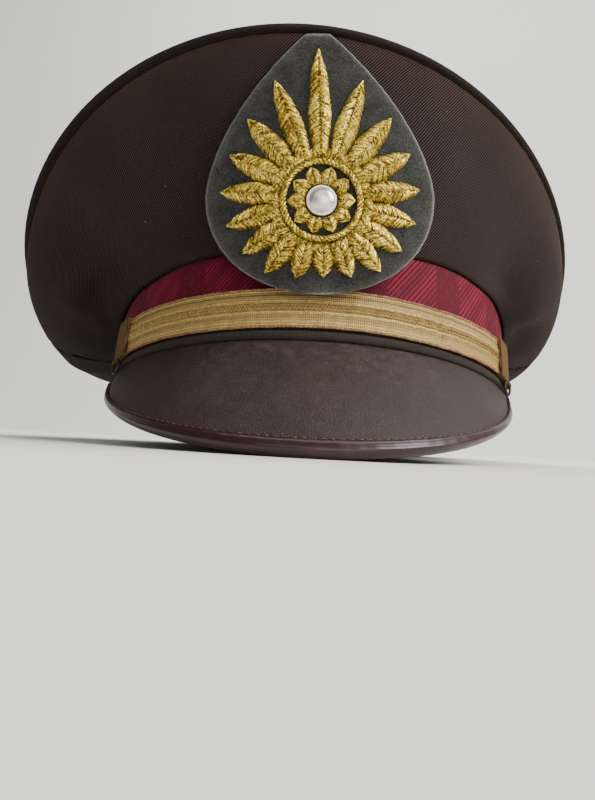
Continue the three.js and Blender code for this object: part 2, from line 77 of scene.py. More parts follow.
# %% Driving sizes
HEAD = {"width": 166, "length": 204, "widest": 4, "roundness": 2.08}
BAND = {"wall": 3, "height": 38, "taper": 1.8}
FIT = 0.3
RIBBON_WALL = 1
WELT = {"bottom": 0.6, "height": 3.3, "proud": 2.2}
LACE = {"bottom": 4.4, "height": 14, "wall": 1.2, "end": 52, "joint": 28.5, "step": 0.5}
SLIDE = {"length": 9, "wall": 3, "overhang": 0.7}
TAB = {"length": 12, "wall": 1.2, "drop": 4}
CLOTH = 1.6
SEAM = {"height": 33, "lean": 3.4}
CROWN = {"width": 240.4, "front": 127.2, "rear": 125.6, "roundness": 1.98, "shift": -9}
CROWN_HEIGHT = {"front": 96, "side": 43, "rear": 48.5, "crest": -3}
PIPING_RADIUS = 1.55
RIM = {"radius": 1.5, "out": 0.4}
TOP_SAG = 2.5
SIDE_SEAM = 95
PEAK = {"length": 52.8, "half_width": 77.9, "shift": -1.7, "wall": 2.2, "slope": 46,
        "edge_slope": 58, "end": 66, "roundness": 2.12}
BINDING = {"width": 5.2, "wall": 0.8}
BADGE = {"width": 76, "height": 84, "wall": 3, "foot": 15.5, "tip": 4, "lean": 4.3, "centre": -1.6,
         "bow": 0.8, "widest_share": 0.41, "taper": 1.68}
ROPE = {"radius": 12.4, "wire": 2.3, "height": 30}
BURST = {"leaves": 18, "margin": 5.5, "width": 7.4, "relief": 1.7, "base": 0.7, "hub": 3.6}
ROSETTE = {"petals": 10, "inner": 5.8, "outer": 10.8, "width": 5.4, "relief": 1.5, "base": 0.7}
STRAP_INNER = 2 * FIT + RIBBON_WALL
print("head opening, mm:", HEAD["width"], "by", HEAD["length"])

# angle, drop, leave, push, rise, belly: how the crown's cloth runs from its seam to the piping.
CROWN_SECTIONS = [
    (0, 0, 62, 0.3, 0.14, 0), (30, -0.04, 60, 0.3, 0.16, 0), (50, 0, 42, 0.34, 0.26, 0.03),
    (70, 0.13, 6, 0.42, 0.4, 0.08), (90, 0.22, 2, 0.42, 0.36, 0.03),
    (120, 0.2, 6, 0.42, 0.38, 0.03), (150, 0.14, 12, 0.4, 0.4, 0.04),
    (180, 0.12, 16, 0.4, 0.4, 0.04),
]
# angle, spread, at, tall, depth: soft folds and dents in the crown's sides.
FOLDS = [
    (-56, 9, 0.5, 0.4, 0.034), (-40, 7, 0.62, 0.35, -0.014), (-64, 6, 0.16, 0.16, 0.03),
    (47, 6, 0.3, 0.3, 0.018), (60, 7, 0.45, 0.35, -0.012), (78, 6, 0.2, 0.2, 0.022),
    (128, 9, 0.4, 0.35, 0.02), (228, 10, 0.4, 0.35, 0.022),
]
# The same columns: shallow creases that only the surface shows.
CREASES = [
    (-67, 5, 0.34, 0.1, -0.012), (-62, 4, 0.22, 0.07, 0.014), (-72, 4, 0.14, 0.07, -0.01),
    (66, 4, 0.3, 0.12, -0.008), (72, 3, 0.2, 0.1, 0.01), (54, 4, 0.16, 0.1, 0.008),
    (-30, 8, 0.8, 0.2, 0.006), (35, 9, 0.75, 0.2, 0.006), (110, 6, 0.3, 0.2, 0.012),
    (150, 7, 0.5, 0.3, -0.01), (165, 6, 0.3, 0.2, 0.012), (200, 8, 0.5, 0.3, 0.012),
    (245, 5, 0.3, 0.2, 0.012), (256, 4, 0.6, 0.3, -0.01),
]

# %% [markdown]
# ## Outlines as functions
# A head is not a circle, so the band's outline is a slightly squared ellipse. The crown has its own
# outline, wider and higher, and the cloth between the two is one curve for each angle. They could
# be drawn as curve objects, but as functions they give any piece its point at any angle.

# %% Band and crown outlines
def mix(a, b, t):
    return a + (b - a) * t


def smooth(t):
    """Rises from 0 to 1 with a soft start and end, and stays within them."""
    t = min(1.0, max(0.0, t))
    return t * t * (3 - 2 * t)


def hump(distance, reach):
    """1 at no distance, falling away softly over that reach."""
    return math.exp(-(distance / reach) ** 2)


def signed_power(value, power):
    return math.copysign(abs(value) ** power, value)


def sin_cos(angle):
    return math.sin(math.radians(angle)), math.cos(math.radians(angle))


def outward(angle):
    s, c = sin_cos(angle)
    return Vector((s, -c, 0))


def band_point(angle, height, outside):
    """A point at an angle round the band, some way outside its outer face."""
    s, c = sin_cos(angle)
    half_width = HEAD["width"] / 2 + BAND["wall"]
    half_length = HEAD["length"] / 2 + BAND["wall"] + math.copysign(1, c) * HEAD["widest"]
    narrowing = 1 - BAND["taper"] * height / BAND["height"] / half_width
    x = signed_power(s, 2 / HEAD["roundness"]) * half_width
    y = HEAD["widest"] - signed_power(c, 2 / HEAD["roundness"]) * half_length
    return Vector((x * narrowing + outside * s, y * narrowing - outside * c, height))


def crown_level(angle, share):
    """Height of the crown's edge: a smooth saddle, share 1 at the edge and 0 in the middle."""
    ends = (CROWN_HEIGHT["front"] + CROWN_HEIGHT["rear"]) / 2
    middle = (ends + CROWN_HEIGHT["side"]) / 2
    c, c2, c3 = (math.cos(math.radians(angle * k)) for k in (1, 2, 3))
    return (middle + share * c * (CROWN_HEIGHT["front"] - CROWN_HEIGHT["rear"]) / 2
            + share ** 2 * c2 * (ends - CROWN_HEIGHT["side"]) / 2
            + CROWN_HEIGHT["crest"] * (share ** 3 * c3 - share * c))


def crown_point(angle, share, outside=0):
    s, c = sin_cos(angle)
    reach = CROWN["front"] if c > 0 else CROWN["rear"]
    x = CROWN["shift"] + signed_power(s, 2 / CROWN["roundness"]) * CROWN["width"] / 2 * share
    y = -signed_power(c, 2 / CROWN["roundness"]) * reach * share
    return Vector((x, y, crown_level(angle, share))) + outward(angle) * outside


def crown_row(angle):
    """The row of CROWN_SECTIONS at an angle, blended from the rows on both sides of it."""
    away = abs((angle + 540) % 360 - 180)
    above = max(1, next(i for i, row in enumerate(CROWN_SECTIONS) if row[0] >= away))
    a, b = CROWN_SECTIONS[above - 1], CROWN_SECTIONS[above]
    t = smooth((away - a[0]) / (b[0] - a[0]))
    return [mix(low, high, t) for low, high in zip(a[1:], b[1:])]


def seam_level(angle):
    return SEAM["height"] * (1 - crown_row(angle)[0]) + SEAM["lean"] * sin_cos(angle)[0]


FOLD_FADE = 8


def fold_depth(angle, share):
    """How far folds and creases sink the cloth. They fade near the seam and near the piping."""
    depth = 0
    for at_angle, spread, at, tall, deep in FOLDS + CREASES:
        depth += deep * hump(angle - at_angle, spread) * hump(share - at, tall)
    fade = min(1, share * FOLD_FADE) * min(1, (1 - share) * FOLD_FADE)
    return depth * fade * CROWN_HEIGHT["front"]


def crown_side(angle, share, sunk=0):
    """A point on the crown's side cloth, from the band (0) to the piping (1), sunk into it."""
    _, leave, push, rise, belly = crown_row(angle)
    out, up = outward(angle), Vector((0, 0, 1))
    foot = band_point(angle, seam_level(angle), FIT + CLOTH)
    head = crown_point(angle, 1) - up * (PIPING_RADIUS + FIT)
    way = (head - foot).length
    s, c = sin_cos(leave)
    lower = foot + out * way * push * c + up * way * push * s
    upper = head + out * way * belly - up * way * rise
    head = head + out * CLOTH / 4
    rest = 1 - share
    point = (foot * rest ** 3 + lower * 3 * share * rest ** 2 + upper * 3 * share ** 2 * rest
             + head * share ** 3)
    along = ((lower - foot) * rest ** 2 + (upper - lower) * 2 * share * rest
             + (head - upper) * share ** 2).normalized()
    normal = (out * along.z - up * along.dot(out)).normalized()
    return point - normal * (fold_depth(angle, share) + sunk)


for side, angle in (("front", 0), ("side", 90), ("rear", 180)):
    print("crown's edge over the band, mm:", side, round(crown_level(angle, 1), 1))

# %% [markdown]
# ## A sheet from a primitive
# Most pieces of a cap are sheets. A grid primitive is the simplest sheet in Blender: its points are
# moved by a function of two numbers from 0 to 1, and its UV map is stretched to millimetres, so a
# weave keeps its true scale. Solidify then gives the sheet its wall.

# %% Sheet helper
SAME_PLACE = 0.002


def deselect():
    bpy.ops.object.select_all(action="DESELECT")


def pick(piece):
    deselect()
    piece.select_set(True)
    bpy.context.view_layer.objects.active = piece


def edit_all(piece, operator, **settings):
    """Uses one edit mode operator on the whole of a piece."""
    pick(piece)
    bpy.ops.object.mode_set(mode="EDIT")
    bpy.ops.mesh.select_all(action="SELECT")
    operator(**settings)
    bpy.ops.object.mode_set(mode="OBJECT")


def merge_doubles(piece):
    edit_all(piece, bpy.ops.mesh.remove_doubles, threshold=SAME_PLACE * MM)


def face_outwards(piece):
    edit_all(piece, bpy.ops.mesh.normals_make_consistent, inside=False)


def apply_modifier(piece, kind, **settings):
    pick(piece)
    modifier = piece.modifiers.new(kind.title(), kind)
    for name, value in settings.items():
        setattr(modifier, name, value)
    bpy.ops.object.modifier_apply(modifier=modifier.name)


def give_wall(piece, wall, even=False, rim_slot=0):
    """Thickens a sheet inwards, in millimetres. An even wall stays as thick where it turns."""
    apply_modifier(piece, "SOLIDIFY", thickness=wall * MM, offset=-1, use_even_offset=even,
                   material_offset_rim=rim_slot)


def sheet_of(name, columns, rows, place, span, wall=0):
    """A grid of that many faces each way. place(u, v) gives a point of the level cap."""
    deselect()
    bpy.ops.mesh.primitive_grid_add(x_subdivisions=columns, y_subdivisions=rows, size=1)
    piece = bpy.context.object
    piece.name = piece.data.name = name
    for vertex in piece.data.vertices:
        vertex.co = set_down(place(vertex.co.x + 0.5, vertex.co.y + 0.5))
    for corner in piece.data.uv_layers.active.data:
        corner.uv = (corner.uv[0] * span[0], corner.uv[1] * span[1])
    merge_doubles(piece)
    if wall:
        give_wall(piece, wall, even=True)
    bpy.ops.object.shade_smooth_by_angle(angle=math.radians(50))
    return piece


def finish_piece(piece, material, slot, *nodes):
    """Gives a piece its material, hangs it under the root and hides the CAD nodes it stands for."""
    piece.data.materials.clear()
    piece.data.materials.append(material)
    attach(piece, "root")
    if nodes:
        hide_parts(*nodes)
    print(piece.name, len(piece.data.polygons), "faces")
    return piece


# %% [markdown]
# ## Shader maths
# Blender's material nodes are easier to read as formulas. A small class wraps a socket, so that
# an expression such as 1 - mask adds its own Math node. Every other node comes from one method.

# %% Shader helper
class Value:
    """A number that varies over a surface."""

    def __init__(self, finish, socket):
        self.finish, self.socket = finish, socket

    def maths(self, operation, *others):
        inputs = dict(enumerate((self, *others)))
        return self.finish.node("ShaderNodeMath", {"operation": operation}, inputs)

    def __add__(self, other):
        return self.maths("ADD", other)

    def __sub__(self, other):
        return self.maths("SUBTRACT", other)

    def __mul__(self, other):
        return self.maths("MULTIPLY", other)

    def __rsub__(self, other):
        return self * -1 + other

    __radd__ = __add__
    __rmul__ = __mul__

    def wave(self, length):
        """A sine from 0 to 1 that repeats after that length."""
        return (self * (2 * math.pi / length)).maths("SINE") * 0.5 + 0.5

    def step(self, low, high):
        """0 below low and 1 above high, smooth between them."""
        kind = {"interpolation_type": "SMOOTHSTEP"}
        return self.finish.node("ShaderNodeMapRange", kind, {0: self, 1: low, 2: high})

    def near(self, middle, reach):
        """1 at a value, falling to 0 at that distance from it."""
        return 1 - (self - middle).maths("ABSOLUTE").step(0, reach)


def paint(red, green, blue):
    """A colour as a paint chart gives it, from 0 to 255, as linear light."""
    parts = [part / 255 for part in (red, green, blue)]
    return (*[p / 12.92 if p <= 0.04045 else ((p + 0.055) / 1.055) ** 2.4 for p in parts], 1)


class Finish:
    """A material on one Principled shader."""

    def __init__(self, name, **constants):
        self.material = bpy.data.materials.new(name)
        self.material.use_nodes = True
        self.tree = self.material.node_tree
        self.shader = next(n for n in self.tree.nodes if n.type == "BSDF_PRINCIPLED")
        for socket, value in constants.items():
            self.shader.inputs[socket.replace("_", " ")].default_value = value

    def node(self, kind, settings, values, out=0):
        made = self.tree.nodes.new(kind)
        for name, value in settings.items():
            setattr(made, name, value)
        for name, value in values.items():
            if isinstance(value, Value):
                self.tree.links.new(value.socket, made.inputs[name])
            else:
                made.inputs[name].default_value = value
        return Value(self, made.outputs[out])

    def place(self):
        return self.node("ShaderNodeTexCoord", {}, {}, "Object")

    def flat(self):
        """The piece's own UV map, then its two parts: millimetres along the piece and across it."""
        uv = self.node("ShaderNodeUVMap", {}, {})
        along, across = (self.node("ShaderNodeSeparateXYZ", {}, {0: uv}, part) for part in (0, 1))
        return uv, along, across

    def attribute(self, name):
        """A number that the mesh itself carries."""
        return self.node("ShaderNodeAttribute", {"attribute_name": name}, {}, "Fac")

    def noise(self, where, scale, detail=2.0, roughness=0.5):
        return self.node("ShaderNodeTexNoise", {}, {
            "Vector": where, "Scale": scale, "Detail": detail, "Roughness": roughness})

    def scaled(self, where, x, y, z=1.0):
        kind = {"operation": "MULTIPLY"}
        return self.node("ShaderNodeVectorMath", kind, {0: where, 1: (x, y, z)})

    def blend(self, factor, a, b):
        """A colour between two, by a factor from 0 to 1."""
        return self.node("ShaderNodeMix", {"data_type": "RGBA"}, {0: factor, 6: a, 7: b}, 2)

    def bump(self, height, depth, strength=1.0):
        """Relief of that depth in millimetres."""
        values = {"Height": height, "Distance": depth * MM, "Strength": strength}
        return self.node("ShaderNodeBump", {}, values)

    def drive(self, **sockets):
        for name, value in sockets.items():
            self.tree.links.new(value.socket, self.shader.inputs[name.replace("_", " ")])
        return self.material


# %% [markdown]
# ## Brown gabardine
# The cap's cloth is a steep twill: fine cords of yarn that climb to the right, under a millimetre
# apart, each one broken into short floats. A tiled picture would do, but formulas on the UV map
# need no file and keep their scale on every panel. The relief is a sine across the cords. Painted
# shade darkens the colour between them, and a painted brown highlight lies along the crown's edge.

# %% Cloth finish
CORD_PITCH = {"crown": 0.76, "plain": 0.6, "piping": 0.5}
FLOAT_LENGTH = 0.7
# A painted reddish-brown highlight for the crown's upper edge, and the colour of lint.
TOP_EDGE_HIGHLIGHT, LINT = paint(84, 56, 40), paint(128, 112, 98)


def twill(name, light, dark, steepness, pitch):
    """Cords that climb at so many degrees, at a pitch in millimetres."""
    cloth = Finish(name, Sheen_Weight=0.03, Sheen_Roughness=0.4, Sheen_Tint=(0.8, 0.5, 0.4, 1),
                   Specular_IOR_Level=0.08)
    _, along, up = cloth.flat()
    where = cloth.place()
    s, c = sin_cos(steepness)
    across_cord = up * c - along * s + cloth.noise(where, 260) * 0.35
    down_cord = along * c + up * s
    cord = across_cord.wave(pitch)
    floats = (down_cord + across_cord * 0.5).wave(FLOAT_LENGTH)
    yarn = cord * 0.75 + cord * floats * 0.25
    patch = cloth.noise(where, 24, 3).step(0.3, 0.75)
    grain = cloth.noise(where, 900, 2)
    lint = cloth.noise(where, 620, 1).step(0.79, 0.84)
    # Painted shade: the colour darkens between the cords, following their relief.
    colour = cloth.blend(yarn * 1.1 + grain * 0.25 + patch * 0.15 - 0.27, dark, light)
    # Painted highlight: reddish-brown along the side panels' upper edge, by the piping.
    colour = cloth.blend(cloth.attribute("lit_top_edge") * 0.24, colour, TOP_EDGE_HIGHLIGHT)
    colour = cloth.blend(lint * 0.4, colour, LINT)
    return cloth.drive(Base_Color=colour, Roughness=0.92 - cord * 0.2,
                       Normal=cloth.bump(yarn + grain * 0.35, 0.24, 0.85))


crown_cloth = twill("crown_cloth", paint(69, 58, 54), paint(5, 4, 3), 43, CORD_PITCH["crown"])
plain_cloth = twill("band_cloth", paint(76, 69, 63), paint(22, 19, 17), 40, CORD_PITCH["plain"])
piping_cloth = twill("piping_cloth", paint(38, 29, 23), paint(15, 11, 8), 30, CORD_PITCH["piping"])
print("cords to a centimetre:", {cloth: round(10 / pitch) for cloth, pitch in CORD_PITCH.items()})

# %% [markdown]
# ## The crown's side cloth
# One panel runs round the front and a second round the back. They meet at the sides in a turned
# seam, so each panel's end dips for a few millimetres, with small puckers along the stitching, and
# the rear panel's ends run on a little way under the front one's. A simulation could drape them,
# but stretched cloth has one known form, so each panel is a grid moved to the crown's curve.

# %% Cloth laid out flat
# How far down from the crown's edge the painted highlight reaches, as a share of the panel.
LIT_TOP_EDGE_SHARE = 0.12


def lay_out(piece, columns, rows):
    """Unrolls a grid's UV map: true lengths along each row from its middle, and up each column."""
    spots = [vertex.co.copy() for vertex in piece.data.vertices]

    def run(indices):
        lengths = [0.0]
        for a, b in zip(indices, indices[1:]):
            lengths.append(lengths[-1] + (spots[b] - spots[a]).length / MM)
        return lengths
    wide = columns + 1
    across = [run(range(row * wide, (row + 1) * wide)) for row in range(rows + 1)]
    upward = [run(range(column, len(spots), wide)) for column in range(wide)]
    # The painted highlight's strength at each corner, strongest at the upper edge by the piping.
    lit_top_edge = piece.data.attributes.new("lit_top_edge", "FLOAT", "CORNER")
    for loop, flat, fade in zip(piece.data.loops, piece.data.uv_layers.active.data, lit_top_edge.data):
        row, column = divmod(loop.vertex_index, wide)
        hem = spots[column].z / MM
        flat.uv = (across[row][column] - across[row][columns // 2], hem + upward[column][row])
        fade.value = math.exp(-(1 - row / rows) / LIT_TOP_EDGE_SHARE)


# %% Crown side panels
PUCKER = {"pitch": 14.0, "slant": 0.9, "reach": 3, "depth": 0.22}
SEAM_DIP = {"depth": 0.9, "reach": 0.7}
SEAM_LAP = 0.5
HEM = {"below": 0.004, "rolled": 0.02, "depth": 0.7}
TUCK = {"rise": 1.0, "from": 0.7}
SLIM = {"share": 0.58, "from": -70, "full": (-5, 75), "to": 150}
PANEL_ROWS = 52


def slim(angle):
    """The rolls at the crown's edge are thinner from the front round to the right side."""
    angle = (angle + 180) % 360 - 180
    first, last = SLIM["full"]
    rising = smooth((angle - SLIM["from"]) / (first - SLIM["from"]))
    falling = smooth((SLIM["to"] - angle) / (SLIM["to"] - last))
    return 1 - SLIM["share"] * rising * falling


def side_panel(name, start, stop, columns, under=0.0):
    """Cloth between two angles. Its very ends can sink further, to lie under the next panel."""
    def place(u, v):
        angle = mix(start, stop, u)
        from_end = min(u, 1 - u) * (stop - start)
        dip = SEAM_DIP["depth"] * hump(from_end, SEAM_DIP["reach"])
        lapped = under * smooth(1 - from_end / SEAM_LAP)
        up_seam = v * CROWN_HEIGHT["front"] * 2 * math.pi / PUCKER["pitch"]
        pucker = PUCKER["depth"] * hump(from_end, PUCKER["reach"])
        pucker *= math.sin(from_end * PUCKER["slant"] + up_seam)
        edge = 0.05 * math.sin(angle * 1.7) * hump(1 - v, 0.08)
        hem = HEM["depth"] * max(0.0, 1 - v / HEM["rolled"])
        rise = TUCK["rise"] + (1 - slim(angle)) * 2 * (PIPING_RADIUS + RIM["radius"])
        tucked = Vector((0, 0, rise * smooth((v - TUCK["from"]) / (1 - TUCK["from"]))))
        sunk = dip + lapped + pucker + edge + hem
        return crown_side(angle, mix(-HEM["below"], 1, v), sunk) + tucked
    panel = sheet_of(name, columns, PANEL_ROWS, place, (1, 1))
    lay_out(panel, columns, PANEL_ROWS)
    give_wall(panel, CLOTH, even=True)
    return panel


crown_front = side_panel("crown_front_cloth", -SIDE_SEAM, SIDE_SEAM, 230)
finish_piece(crown_front, crown_cloth, "cloth", "crown_front")

rear_from = SIDE_SEAM - SEAM_LAP
crown_rear = side_panel("crown_rear_cloth", rear_from, 360 - rear_from, 200, under=CLOTH)
finish_piece(crown_rear, crown_cloth, "cloth", "crown_rear")

# %% [markdown]
# ## Piping and the top
# The crown's edge shows two cloth-covered rolls: the piping, and above it the rim of the top, which
# is turned over a wire. A bevelled curve would make each roll, but a grid bent into a ring keeps a
# UV map in millimetres, and lets the top run on from its roll as one sheet that sags a little.

# %% Piping
CROWN_GIRTH = 780
TOP_LIFT = PIPING_RADIUS + FIT + 2 * RIM["radius"]


def ring_of(name, columns, rows, place, girth, across):
    """A closed ring: u runs right round from the back, v round its section."""
    return sheet_of(name, columns, rows, lambda u, v: place(mix(-180, 180, u), v), (girth, across))


def piping_place(angle, v):
    s, c = sin_cos(v * 360)
    uneven = 1 + 0.03 * math.sin(angle * 3.1) + 0.02 * math.sin(angle * 7.3)
    swell = PIPING_RADIUS * slim(angle) * uneven
    point = crown_point(angle, 1, swell * c)
    point.z += TOP_LIFT - FIT / 2 - slim(angle) * (2 * RIM["radius"] + PIPING_RADIUS) + swell * s
    return point


piping = ring_of("piping_roll", 360, 12, piping_place, CROWN_GIRTH, 8.2)
finish_piece(piping, piping_cloth, "piping_cloth", "crown_piping")

# %% Crown top
TOP_REACH = 130
FLAT_SHARE, ROLL_SHARE = 0.7, 0.715
ROLL_FROM, ROLL_TO = 90, -110
TOP_CREASE = {"at": 0.965, "reach": 0.015, "depth": 0.15}


def top_place(angle, v):
    """Out over the flat of the top first, then down round its roll."""
    if v < FLAT_SHARE:
        share = v / FLAT_SHARE
        point = crown_point(angle, share * 0.99, RIM["out"] * share)
        crease = TOP_CREASE["depth"] * hump(share - TOP_CREASE["at"], TOP_CREASE["reach"])
        point.z += TOP_LIFT - TOP_SAG * (1 - share * share) - crease
        return point
    s, c = sin_cos(mix(ROLL_FROM, ROLL_TO, (v - FLAT_SHARE) / (1 - FLAT_SHARE)))
    swell = RIM["radius"] * slim(angle) * (1 + 0.02 * math.sin(angle * 2.3))
    point = crown_point(angle, 1, RIM["out"] + swell * c)
    point.z += TOP_LIFT - RIM["radius"] * slim(angle) + swell * s
    return point


top = ring_of("crown_top_cloth", 300, 44, top_place, CROWN_GIRTH, TOP_REACH)
top_uv = top.data.uv_layers.active.data
rolled_faces = [face.index for face in top.data.polygons
                if min(top_uv[loop].uv[1] for loop in face.loop_indices) > TOP_REACH * ROLL_SHARE]
roll_length = RIM["radius"] * math.radians(ROLL_FROM - ROLL_TO)
for flat in top_uv:
    angle, v = mix(-180, 180, flat.uv[0] / CROWN_GIRTH), flat.uv[1] / TOP_REACH
    if v <= ROLL_SHARE:
        rolled = roll_length * max(0, v - FLAT_SHARE) / (1 - FLAT_SHARE)
        flat.uv = crown_point(angle, min(1, v / FLAT_SHARE), rolled)[:2]
give_wall(top, 0.9)
finish_piece(top, crown_cloth, "cloth", "crown_top")
top.data.materials.append(piping_cloth)
for face in rolled_faces:
    top.data.polygons[face].material_index = 1

# %% [markdown]
# ## The head band
# Inside the crown stands a stiff cloth-covered band. Its outside is hidden by the ribbon, and its
# inside shows from below. It could be a tube with bevelled edges, but as a ring that runs round a
# short list of corners it follows the seam's height at every angle.

# %% Band
BAND_GIRTH = 590
BAND_EDGE = {"side": 0.35, "foot": 0.3}


def on_section(corners, share):
    """The point at a share of the way along a section, each side of it taking the same share."""
    side = min(int(share * (len(corners) - 1)), len(corners) - 2)
    t = share * (len(corners) - 1) - side
    return [mix(a, b, t) for a, b in zip(corners[side], corners[side + 1])]


def band_place(angle, v):
    top_edge = min(BAND["height"], seam_level(angle) + CLOTH * 2)
    wall, edge, foot = BAND["wall"], BAND_EDGE["side"], BAND_EDGE["foot"]
    corners = [(0, foot), (edge, 0), (top_edge - edge, 0), (top_edge, edge),
               (top_edge, wall - edge), (top_edge - edge, wall), (edge, wall), (0, wall - foot),
               (0, foot)]
    level, depth = on_section(corners, v)
    return band_point(angle, level, -depth)


band = ring_of("head_band", 240, 8, band_place, BAND_GIRTH, 82)
finish_piece(band, plain_cloth, "cloth", "cap_band")

# %% [markdown]
# ## Maroon ribbon
# A figured ribbon covers the band. It is woven with sloping ribs, and here and there with small
# diamonds, in the same maroon, so the figures show by their relief and gloss, and by painted shade
# where the relief sinks. They are far too fine to model, so waves on the UV map make them.

# %% Ribbon
RIBS = {"steepness": 47, "pitch": 1.5, "broad": 9, "thread": 0.45}
FIGURES = {"diamond": 6.3, "small": 1.4, "repeat": 34}
SILK = {"foot": 0.8, "wall": 0.8, "bulge": 0.12}


def ribbon_finish():
    silk = Finish("ribbon_cloth", Sheen_Weight=0.05, Sheen_Tint=(1, 0.2, 0.3, 1),
                  Specular_IOR_Level=0.2)
    _, along, up = silk.flat()
    where = silk.place()
    wander = silk.noise(where, 120) * 0.6
    s, c = sin_cos(RIBS["steepness"])
    across_rib = up * c - along * s + wander
    ribs, broad = across_rib.wave(RIBS["pitch"]), across_rib.wave(RIBS["broad"])
    threads = (up * c + along * s).wave(RIBS["thread"])
    big, small = ((up + along).wave(FIGURES[size]) * (up - along).wave(FIGURES[size])
                  for size in ("diamond", "small"))
    figured = (along + wander * 4).wave(FIGURES["repeat"]).step(0.62, 0.75)
    ribbed = ribs * (1 - figured) * (0.4 + broad * 0.6)
    relief = ribbed + small * figured * (0.4 + big.step(0.35, 0.6) * 0.6)
    # Painted shade: the colour darkens where the relief sinks.
    shade = relief * 0.7 + threads * 0.1 + silk.noise(where, 700) * 0.3
    colour = silk.blend(shade, paint(36, 0, 8), paint(132, 10, 46))
    return silk.drive(Base_Color=colour, Roughness=0.78 - relief * 0.25,
                      Normal=silk.bump(relief + threads * 0.25, 0.28, 0.8))


def ribbon_place(angle, v):
    low, high = LACE["bottom"] + SILK["foot"], seam_level(angle) - FIT
    bulge = SILK["bulge"] * (math.sin(angle * 0.31) * math.sin(math.pi * v) - 1)
    return band_point(angle, mix(low, high, v), FIT + RIBBON_WALL + bulge)


ribbon = ring_of("maroon_ribbon", 300, 14, ribbon_place, BAND_GIRTH, 29)
give_wall(ribbon, SILK["wall"])
finish_piece(ribbon, ribbon_finish(), "ribbon_cloth", "band_ribbon")

# %% [markdown]
# ## Lower welt
# A flat roll of the cap's cloth runs round under the strap. Its ends butt near the front, in a
# joint that shows as a short upright line. A torus would be too even, so this ring swells and
# slackens a little, and is nipped in at the joint.

# %% Welt
WELT_JOINT = {"angle": -2.5, "reach": 0.35, "nip": 0.3}
WELT_GIRTH = 600


def welt_place(angle, v):
    s, c = sin_cos(v * 180)
    nip = 1 - WELT_JOINT["nip"] * hump(angle - WELT_JOINT["angle"], WELT_JOINT["reach"])
    slack = 1 + 0.05 * math.sin(angle * 0.9) + 0.03 * math.sin(angle * 2.3)
    level = WELT["bottom"] + WELT["height"] / 2 * (1 - c)
    return band_point(angle, level, FIT + WELT["proud"] * (0.4 + 0.6 * s ** 0.8 * nip * slack))


welt = ring_of("welt_roll", 480, 12, welt_place, WELT_GIRTH, 6)
give_wall(welt, 0.7)
finish_piece(welt, plain_cloth, "cloth", "lower_welt")

# %% [markdown]
# ## Gold lace strap
# The strap is a flat lace of gilt thread. Across its width run a pink edge cord, a ribbed band, a
# bright line, a middle of fine zigzags, then the same again. Modelling every thread would take
# millions of faces, so the base is a sheet with that relief. Only the edge cords, the bright lines
# and the zigzags are threads of their own, laid on it in the next cells.

# %% Lace finish
LACE_LENGTH = 160
ZIGZAG = {"pitch": 1.1, "rows": (6.25, 7.2, 8.15), "height": 0.8, "radius": 0.12, "lift": 0.08}
MIDDLE = {"level": 7.2, "reach": 1.9}
# Level up the lace, reach and darkness of the painted shade in each sunk line.
GROOVES = [(11.6, 0.8, 1), (4.0, 0.9, 0.6), (13.1, 0.3, 0.7), (0.8, 0.25, 1)]
print("lace, mm:", LACE["height"], "wide, with zigzags at", ZIGZAG["rows"])


def lace_finish():
    gilt = Finish("gold_lace", Metallic=0.15, Specular_IOR_Level=0.35)
    uv, along, up = gilt.flat()
    middle = up.near(MIDDLE["level"], MIDDLE["reach"]).step(0, 0.35)
    groove = sum(up.near(level, reach) * dark for level, reach, dark in GROOVES)
    slope = (along.wave(ZIGZAG["pitch"]) * 2 - 1).maths("ABSOLUTE")
    zigzag = (up + slope * 0.55).wave(1.15)
    ribs, lines = along.wave(0.62), up.wave(0.78)
    weave = middle * zigzag + (1 - middle) * (ribs * 0.55 + lines * 0.45)
    wrinkle = gilt.noise(gilt.scaled(uv, 0.35, 0.9), 1.0, 2)
    # Painted shade: the colour darkens with the weave's relief, its wrinkles and its sunk lines.
    shade = weave * 0.75 + wrinkle * 0.5 - 0.04
    deep = gilt.blend(middle * 0.9 + groove * 0.6, paint(102, 78, 40), paint(36, 24, 11))
    colour = gilt.blend(shade - groove * 0.4 - middle * 0.1, deep, paint(182, 153, 88))
    return gilt.drive(Base_Color=colour, Roughness=0.62 - weave * 0.2,
                      Normal=gilt.bump(weave + wrinkle * 0.7, 0.2, 0.8))


# %% Lace base
# Distance from the nearer edge, reach and height of each raised or sunk line.
LACE_RELIEF = [(0.5, 0.45, 0.2), (5.0, 0.5, 0.14), (2.4, 0.4, -0.12)]
LAPPED = {"angle": 0.15, "reach": 2.4}
JOINT_CREASE = {"reach": 7, "depth": 0.3}


def degrees_of(length):
    """The angle that a length takes up at the band's side."""
    return math.degrees(length / (HEAD["width"] / 2 + BAND["wall"]))


def lace_place(start, stop, wall):
    def place(u, v):
        angle = mix(start, stop, u)
        lap = (wall - LACE["wall"]) * hump(angle - start, LAPPED["reach"])
        body = (wall - lap) * (0.72 + 0.2 * math.sin(math.pi * v))
        edge = min(v, 1 - v) * LACE["height"]
        relief = sum(height * hump(edge - at, reach) for at, reach, height in LACE_RELIEF)
        wave = 0.12 * math.sin(angle * 0.83 + v * 2) + 0.08 * math.sin(angle * 2.1 - v * 3)
        crease = JOINT_CREASE["depth"] * hump(angle - LACE["joint"], JOINT_CREASE["reach"])
        crease *= math.sin(angle * 1.9 + v * 5) * math.sin(v * 3.1)
        sway = 0.18 * math.sin(angle * 0.12 + 1)
        level = LACE["bottom"] + sway + LACE["height"] * v
        return band_point(angle, level, STRAP_INNER + body + relief + wave + crease)
    return place


